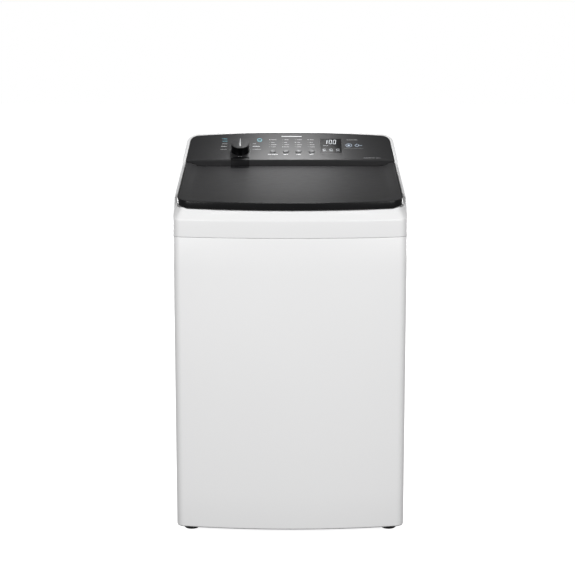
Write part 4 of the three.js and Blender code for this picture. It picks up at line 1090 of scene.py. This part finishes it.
rear = obj_from("rear_panel_pressed", *sheet(lines(-313.2, 313.2, 16, (-286, 286, -281, 281)), lines(15.8, 829.2, 16, (78, 726) + BEADS), lambda x, z: 328.4 + rear_press(x, z), lambda x, z: 327.4 + rear_press(x, z)), M["zinc"], "cabinet", ("rear_panel",), 35, "zinc_sheet")
slots = []
for i in range(14):
    x = -130 + 20 * i
    slots.append(to_back(prism(rounded([(x - 2.5, 748), (x + 2.5, 748), (x + 2.5, 786), (x - 2.5, 786)], 2.4, 4), 318, 335)))
cut(rear, to_back(prism(circle(205, 95, 16.5, 40), 310, 340)), to_back(prism(circle(-225, 770, 9.5, 32), 310, 340)), *slots)

hatch = to_back(prism(rounded([(-196, 384), (196, 384), (196, 716), (-196, 716)], 10, 5), 325.0, 327.2, 0.6))
hatch_rise = to_back(prism(rounded([(-182, 398), (182, 398), (182, 702), (-182, 702)], 12, 5), 325.2, 328.6, 1.4))
hatch_bead = [to_back(prism(rounded([(-150, z - 6), (150, z - 6), (150, z + 6), (-150, z + 6)], 5.9, 6), 327.5, 329.6, 0.9)) for z in (450, 550, 650)]
obj_from("service_cover", *join(hatch, hatch_rise, *hatch_bead), M["zinc"], "cabinet", (), 30, "zinc_sheet")


def hex_screw(x, z, y0, r=4.4):
    wash = to_back(turned([(0, y0 - 1.2), (r + 1.3, y0 - 1.2), (r + 1.3, y0 + 0.35), (r + 0.6, y0 + 0.6), (0, y0 + 0.6)], 24, x, z))
    head = to_back(prism(circle(x, z, r * 0.92, 6, 0.3 * x), y0 + 0.4, y0 + 1.5, 0.3))
    return join(wash, head)


screws = [hex_screw(x, z, 328.4) for x in (-301, 301) for z in (40, 190, 340, 490, 640, 800)]
screws += [hex_screw(x, z, 327.2) for x in (-189, 189) for z in (391, 550, 709)] + [hex_screw(0, z, 327.2) for z in (391, 709)] + [hex_screw(x, 812, 328.4) for x in (-150, 0, 150)]
obj_from("rear_screws", *join(*screws), M["steel"], "cabinet", (), 30, "steel")


def con_back(x, g): return CON_BACK + g - CON_BOW * (x / CON_BACK_HALF) ** 2


def con_press(x, z): return -1.4 * sm(0, 5, min(258 - abs(x), z - 926, 1009 - z))


crc = obj_from("console_rear_cover_skin", *sheet(lines(-269.3, 269.3, 9, (-257, 257)), lines(915.7, 1019.3, 6, (928, 1007)), lambda x, z: con_back(x, 8.3) + con_press(x, z), lambda x, z: con_back(x, 6.2) + con_press(x, z)), M["cover"], "cabinet", ("console_rear_cover",), 35, "cover_white")
louvres = []
for i in range(23):
    x = -198 + 18 * i
    for z0, z1 in ((936, 962), (974, 1000)):
        louvres.append(to_back(prism(rounded([(x - 3.2, z0), (x + 3.2, z0), (x + 3.2, z1), (x - 3.2, z1)], 3.0, 4), 225, 275)))
cut(crc, *louvres)
obj_from("console_cover_screws", *join(*[join(to_back(turned([(0, con_back(x, 6.6)), (4.2, con_back(x, 6.6)), (4.4, con_back(x, 8.0)), (3.0, con_back(x, 9.0)), (0, con_back(x, 9.2))], 24, x, z))) for x in (-262, 262) for z in (967,)], *[to_back(turned([(0, con_back(x, 6.6)), (4.2, con_back(x, 6.6)), (4.4, con_back(x, 8.0)), (3.0, con_back(x, 9.0)), (0, con_back(x, 9.2))], 24, x, 921)) for x in (-130, 0, 130)]), M["steel"], "cabinet", (), 30, "steel")

# ================================================================ levelling feet
for c, x, y in (("front_left", -275, -262), ("front_right", 275, -262), ("rear_left", -275, 295), ("rear_right", 275, 295)):
    pad = turned(rounded([(0.01, 0), (19.0, 0), (22.0, 3.2), (21.0, 10.2), (15.0, 12.0), (0.01, 12.0)], [0, 1.2, 1.6, 2.0, 1.0, 0], 4), 40, x, y)
    nut = prism(circle(x, y, 12.0, 6), 11.8, 17.6, 0.9)
    stud = [(0.01, 17.0), (5.2, 17.0)]
    z = 17.8
    while z < 51.0:
        stud += [(5.95, z + 0.5), (5.2, z + 1.1)]
        z += 1.5
    stud += [(5.2, 51.4), (4.6, 51.9), (0.01, 51.9)]
    obj_from("foot_pad_" + c, *pad, M["rubber"], "foot_" + c, ("foot_" + c,), 35, "rubber")
    obj_from("foot_stud_" + c, *join(nut, turned(stud, 28, x, y)), M["steel"], "foot_" + c, (), 30, "steel")

# ================================================================ basket
def perforated(nu, nv, P, hole, closed=True, stagger=True, solid=None, centre_pt=True):
    """Cells with a round hole each. P(u, v, side) gives the point; side 0 and 1 are the two faces; hole is (du, dv)."""
    V, F = [], []
    for j in range(nv):
        off = 0.5 * (j % 2) if (stagger and closed) else 0.0
        for i in range(nu):
            u0, v0 = i + off, j
            rimpts = [(u0, v0), (u0 + 0.5, v0), (u0 + 1, v0), (u0 + 1, v0 + 0.5), (u0 + 1, v0 + 1), (u0 + 0.5, v0 + 1), (u0, v0 + 1), (u0, v0 + 0.5)]
            cu, cv = u0 + 0.5, v0 + 0.5
            if solid and solid(cu, cv):
                for side in (0, 1):
                    b = len(V)
                    V += [P(u, v, side) for u, v in rimpts] + [P(cu, cv, side)]
                    F += [(b + 7, b, b + 1, b + 8), (b + 1, b + 2, b + 3, b + 8), (b + 3, b + 4, b + 5, b + 8), (b + 5, b + 6, b + 7, b + 8)]
                continue
            ang = [math.radians(a) for a in (225, 270, 315, 0, 45, 90, 135, 180)]
            hp = [(cu + hole[0] * math.cos(a), cv + hole[1] * math.sin(a)) for a in ang]
            ids = []
            for side in (0, 1):
                b = len(V)
                V += [P(u, v, side) for u, v in rimpts] + [P(u, v, side) for u, v in hp]
                for k in range(8):
                    l = (k + 1) % 8
                    F.append((b + k, b + l, b + 8 + l, b + 8 + k))
                ids.append(b + 8)
            for k in range(8):
                l = (k + 1) % 8
                F.append((ids[0] + k, ids[0] + l, ids[1] + l, ids[1] + k))
    # the two long edges, and the short ones when the sheet is open
    for v in (0, nv):
        off = 0.5 * ((nv - 1 if v else 0) % 2) if (stagger and closed) else 0.0
        for i in range(2 * nu):
            b = len(V)
            V += [P(off + i / 2, v, 0), P(off + (i + 1) / 2, v, 0), P(off + (i + 1) / 2, v, 1), P(off + i / 2, v, 1)]
            F.append((b, b + 1, b + 2, b + 3))
    if not closed:
        for u in (0, nu):
            for j in range(2 * nv):
                b = len(V)
                V += [P(u, j / 2, 0), P(u, (j + 1) / 2, 0), P(u, (j + 1) / 2, 1), P(u, j / 2, 1)]
                F.append((b, b + 1, b + 2, b + 3))
    return V, F


NU, NV = 72, 17


def boss(a, z):
    d = abs(((a - math.pi / 8) / (math.pi / 4) + 0.5) % 1.0 - 0.5) * (math.pi / 4)
    return 4.5 * sm(0.17, 0.09, d) * sm(348, 380, z) * sm(742, 712, z)


def basket_wall(u, v, side):
    a = 2 * math.pi * u / NU
    z = 347.5 + (751.6 - 347.5) * v / NV
    r = (257.8 if side == 0 else 256.8) - boss(a, z)
    return (r * math.cos(a), TUB_Y + r * math.sin(a), z)


wall = perforated(NU, NV, basket_wall, (3.3 / 22.4, 3.3 / 23.8), solid=lambda u, v: v < 0.9 or v > NV - 0.9)
floor_line = [(32.3, 335.2), (120, 335.2), (126, 337.4), (140, 337.4), (146, 335.2)]
floor_line += [(245.8 + 12 * math.sin(t), 347.5 - 12.3 * math.cos(t)) for t in np.linspace(0, math.pi / 2, 8)]
floor_line += [(245.8 + 11 * math.sin(t), 347.5 - 11.2 * math.cos(t)) for t in np.linspace(math.pi / 2, 0, 8)]
floor_line += [(146.5, 336.3), (140, 338.5), (126, 338.5), (119.5, 336.3), (32.3, 336.3)]
obj_from("basket_perforated_drum", *join(wall, turned(floor_line, 144, 0, TUB_Y)), M["stainless"], "basket", ("basket_drum",), 35, "stainless")

ring_line = section([(226, 762), (231, 752.8), (259.4, 752.6), (261.8, 758), (261.8, 793), (256, 796.8), (250, 796.8), (249, 794.8), (239, 794.8), (238, 796.8), (232, 796.8), (226, 788)], [2, 2, 1.5, 2, 2, 3, 0.8, 0.6, 0.6, 0.8, 3, 3], 4)
obj_from("balance_ring_moulding", *turned(ring_line, 128, 0, TUB_Y), M["pale"], "basket", ("balance_ring",), 35, "pale_plastic")

# ================================================================ wash plate
def disc_z(r):
    pts = [(0, 381), (13.6, 381), (15.4, 387.2), (18, 388), (40, 384), (70, 362), (110, 355), (150, 350.4), (164, 355.6), (168, 355.8)]
    for (r0, z0), (r1, z1) in zip(pts, pts[1:]):
        if r <= r1: return mix(z0, z1, (r - r0) / (r1 - r0))
    return pts[-1][1]


def fin_z(r):
    pts = [(24, 384.0), (36, 384.6), (70, 381.5), (100, 377.5), (140, 367), (155, 358.5), (162, 350)]
    for (r0, z0), (r1, z1) in zip(pts, pts[1:]):
        if r <= r1: return mix(z0, z1, max(0.0, (r - r0) / (r1 - r0)))
    return 340.0


PR = [4.5, 9, 13.6, 14.4, 15.4, 16.6, 18, 22, 27, 32, 37, 42, 48, 54, 60, 66, 72, 80, 88, 96, 104, 112, 120, 128, 136, 142, 148, 152, 156, 159, 162, 165, 167, 168]


def plate_section(a):
    d = ((a + math.pi / 6) % (math.pi / 3)) - math.pi / 6
    top = []
    for r in PR:
        z = disc_z(r)
        if 20 < r < 163:
            w = abs(r * math.sin(d))
            z = max(z, mix(z - 1, fin_z(r), sm(14.0, 4.2, w)))
            z += 1.3 * sm(5, 0, abs(w - 0.5 * r * 0.5236 * 1.0)) * sm(60, 80, r) * sm(158, 150, r)
        top.append((r, z))
    low = [(168, 352.4), (158, 346.8), (150, 341.6), (90, 343.5), (26.2, 345.6), (25.8, 341.2), (11, 341.2), (4.5, 341.4)]
    return [(r * math.cos(a), TUB_Y + r * math.sin(a), z) for r, z in top + low]


obj_from("wash_plate_finned", *loft([plate_section(2 * math.pi * i / 252) for i in range(252)], ring=True, wrap=True), M["pale"], "wash_drive", ("pulsator",), 35, "pale_plastic")
obj_from("wash_plate_bolt", *join(turned([(0.01, 366.6), (3.8, 366.6), (3.8, 381.4), (12.6, 381.4), (12.9, 382.0), (11.2, 383.0), (0.01, 383.0)], 32, 0, TUB_Y), prism(circle(0, TUB_Y, 10.4, 6), 382.4, 386.9, 0.8)), M["steel"], "wash_drive", ("pulsator_bolt",), 30, "steel")

# ================================================================ detergent drawer
drawer = obj_from("drawer_tray", *box(-165.2, -24.8, 95.2, 198.8, 865.8, 897.4, 1.8), M["drawer"], "drawer", ("detergent_drawer",), 35, "pale_plastic")
cut(drawer, prism(rounded([(-162, 99), (-98, 99), (-98, 195), (-162, 195)], 6, 5), 869, 920), prism(rounded([(-94, 99), (-28, 99), (-28, 195), (-94, 195)], 6, 5), 869, 920))
cut(drawer, box(-125, -65, 88, 97, 880, 892, 0))
cap_line = [(0.01, 868.5), (11.5, 868.5), (11.5, 884), (10.5, 886.5), (7.5, 887.5), (0.01, 887.8)]
obj_from("drawer_siphon_cap", *join(turned(cap_line, 40, -61, 168), prism(rounded([(-64, 157), (-58, 157), (-58, 179), (-64, 179)], 1.5, 3), 886.5, 890, 0.8), *[prism([(x, 192.9), (x + 1.0, 192.9), (x + 1.0, 195.2), (x, 195.2)], 872, 893) for x in (-140, -130, -120)]), M["filter"], "drawer", (), 35, "filter_blue")

# ================================================================ lint filter
frame_part = obj_from("lint_filter_case", *to_back(prism(rounded([(-39.6, 520.4), (39.6, 520.4), (39.6, 699.6), (-39.6, 699.6)], 8, 6), 214.2, 229.6, 2.2)), M["filter"], "lint_filter", ("lint_filter",), 35, "filter_blue")
cut(frame_part, to_back(prism(rounded([(-32.5, 532), (32.5, 532), (32.5, 688), (-32.5, 688)], 5, 5), 205, 227)))
MU, MV = 13, 31
mesh = perforated(MU, MV, lambda u, v, s: (-32.6 + 65.2 * u / MU, 218.0 if s else 217.2, 531.8 + 156.4 * v / MV), (0.33, 0.33), closed=False, stagger=False)
bars = [to_back(prism(rounded([(x - 1.6, 531.5), (x + 1.6, 531.5), (x + 1.6, 688.5), (x - 1.6, 688.5)], 0.8, 3), 214.6, 218.6, 0.7)) for x in (-16, 0, 16)]
bars += [to_back(prism(rounded([(-33, z - 1.6), (33, z - 1.6), (33, z + 1.6), (-33, z + 1.6)], 0.8, 3), 214.9, 218.6, 0.7)) for z in (571, 610, 649)]
obj_from("lint_filter_mesh", *mesh, M["ink"], "lint_filter", (), 30, "filter_blue")
obj_from("lint_filter_bars", *join(*bars), M["filter"], "lint_filter", (), 30, "filter_blue")

# ================================================================ water inlet, drain outlet, cord gland
def ridged(r, z0, z1, pitch=1.8, depth=0.8):
    out, z = [], z0
    while z + pitch <= z1:
        out += [(r - depth, z), (r, z + pitch * 0.35), (r, z + pitch * 0.65), (r - depth, z + pitch)]
        z += pitch
    return out


valve = [box(150.4, 249.6, 280.4, 319.6, 876, 899.8, 2.4), box(156, 244, 284, 316, 862.4, 877, 2.0)]
for x in (170, 230):
    valve.append(turned([(9.2, 900), (12.2, 899)] + ridged(12.9, 906, 924) + [(12.2, 925), (11.6, 929.6), (9.4, 929.6), (9.0, 928.8), (9.0, 913), (0.01, 912.4), (0.01, 899.5)], 48, x, 300))
obj_from("inlet_valve_body", *join(*valve), M["cover"], "cabinet", ("inlet_valve",), 35, "pale_plastic")
obj_from("inlet_valve_strainers", *join(*[turned([(0.01, 913.6), (3.0, 915.8), (7.8, 914.2), (8.6, 916.5), (8.6, 914), (7.8, 912.8), (0.01, 912.8)], 40, x, 300) for x in (170, 230)]), M["filter"], "cabinet", (), 30, "filter_blue")
obj_from("drain_outlet_spigot", *to_back(turned([(12.2, 285.2)] + [(15.2, 285.2), (15.2, 316.2), (21.4, 316.2), (22, 317), (22, 325.6), (21.4, 326.2), (15.4, 326.2), (15.2, 328.0), (14.4, 329.6), (12.6, 329.6), (12.2, 329.0)], 64, 205, 95)), M["dark"], "cabinet", ("drain_outlet",), 35, "dark_plastic")
obj_from("cord_gland_bush", *to_back(turned([(4.6, 310.2), (8.6, 310.2), (8.9, 311)] + [(8.9, 316.2), (12.6, 316.2), (13, 317), (13, 326.2), (9, 326.3), (9, 328.7), (13.6, 328.75), (13.9, 329.3), (13.4, 329.9), (5.4, 329.9), (4.6, 329.2)], 48, -225, 770)), M["rubber"], "cabinet", ("cord_gland",), 35, "dark_plastic")
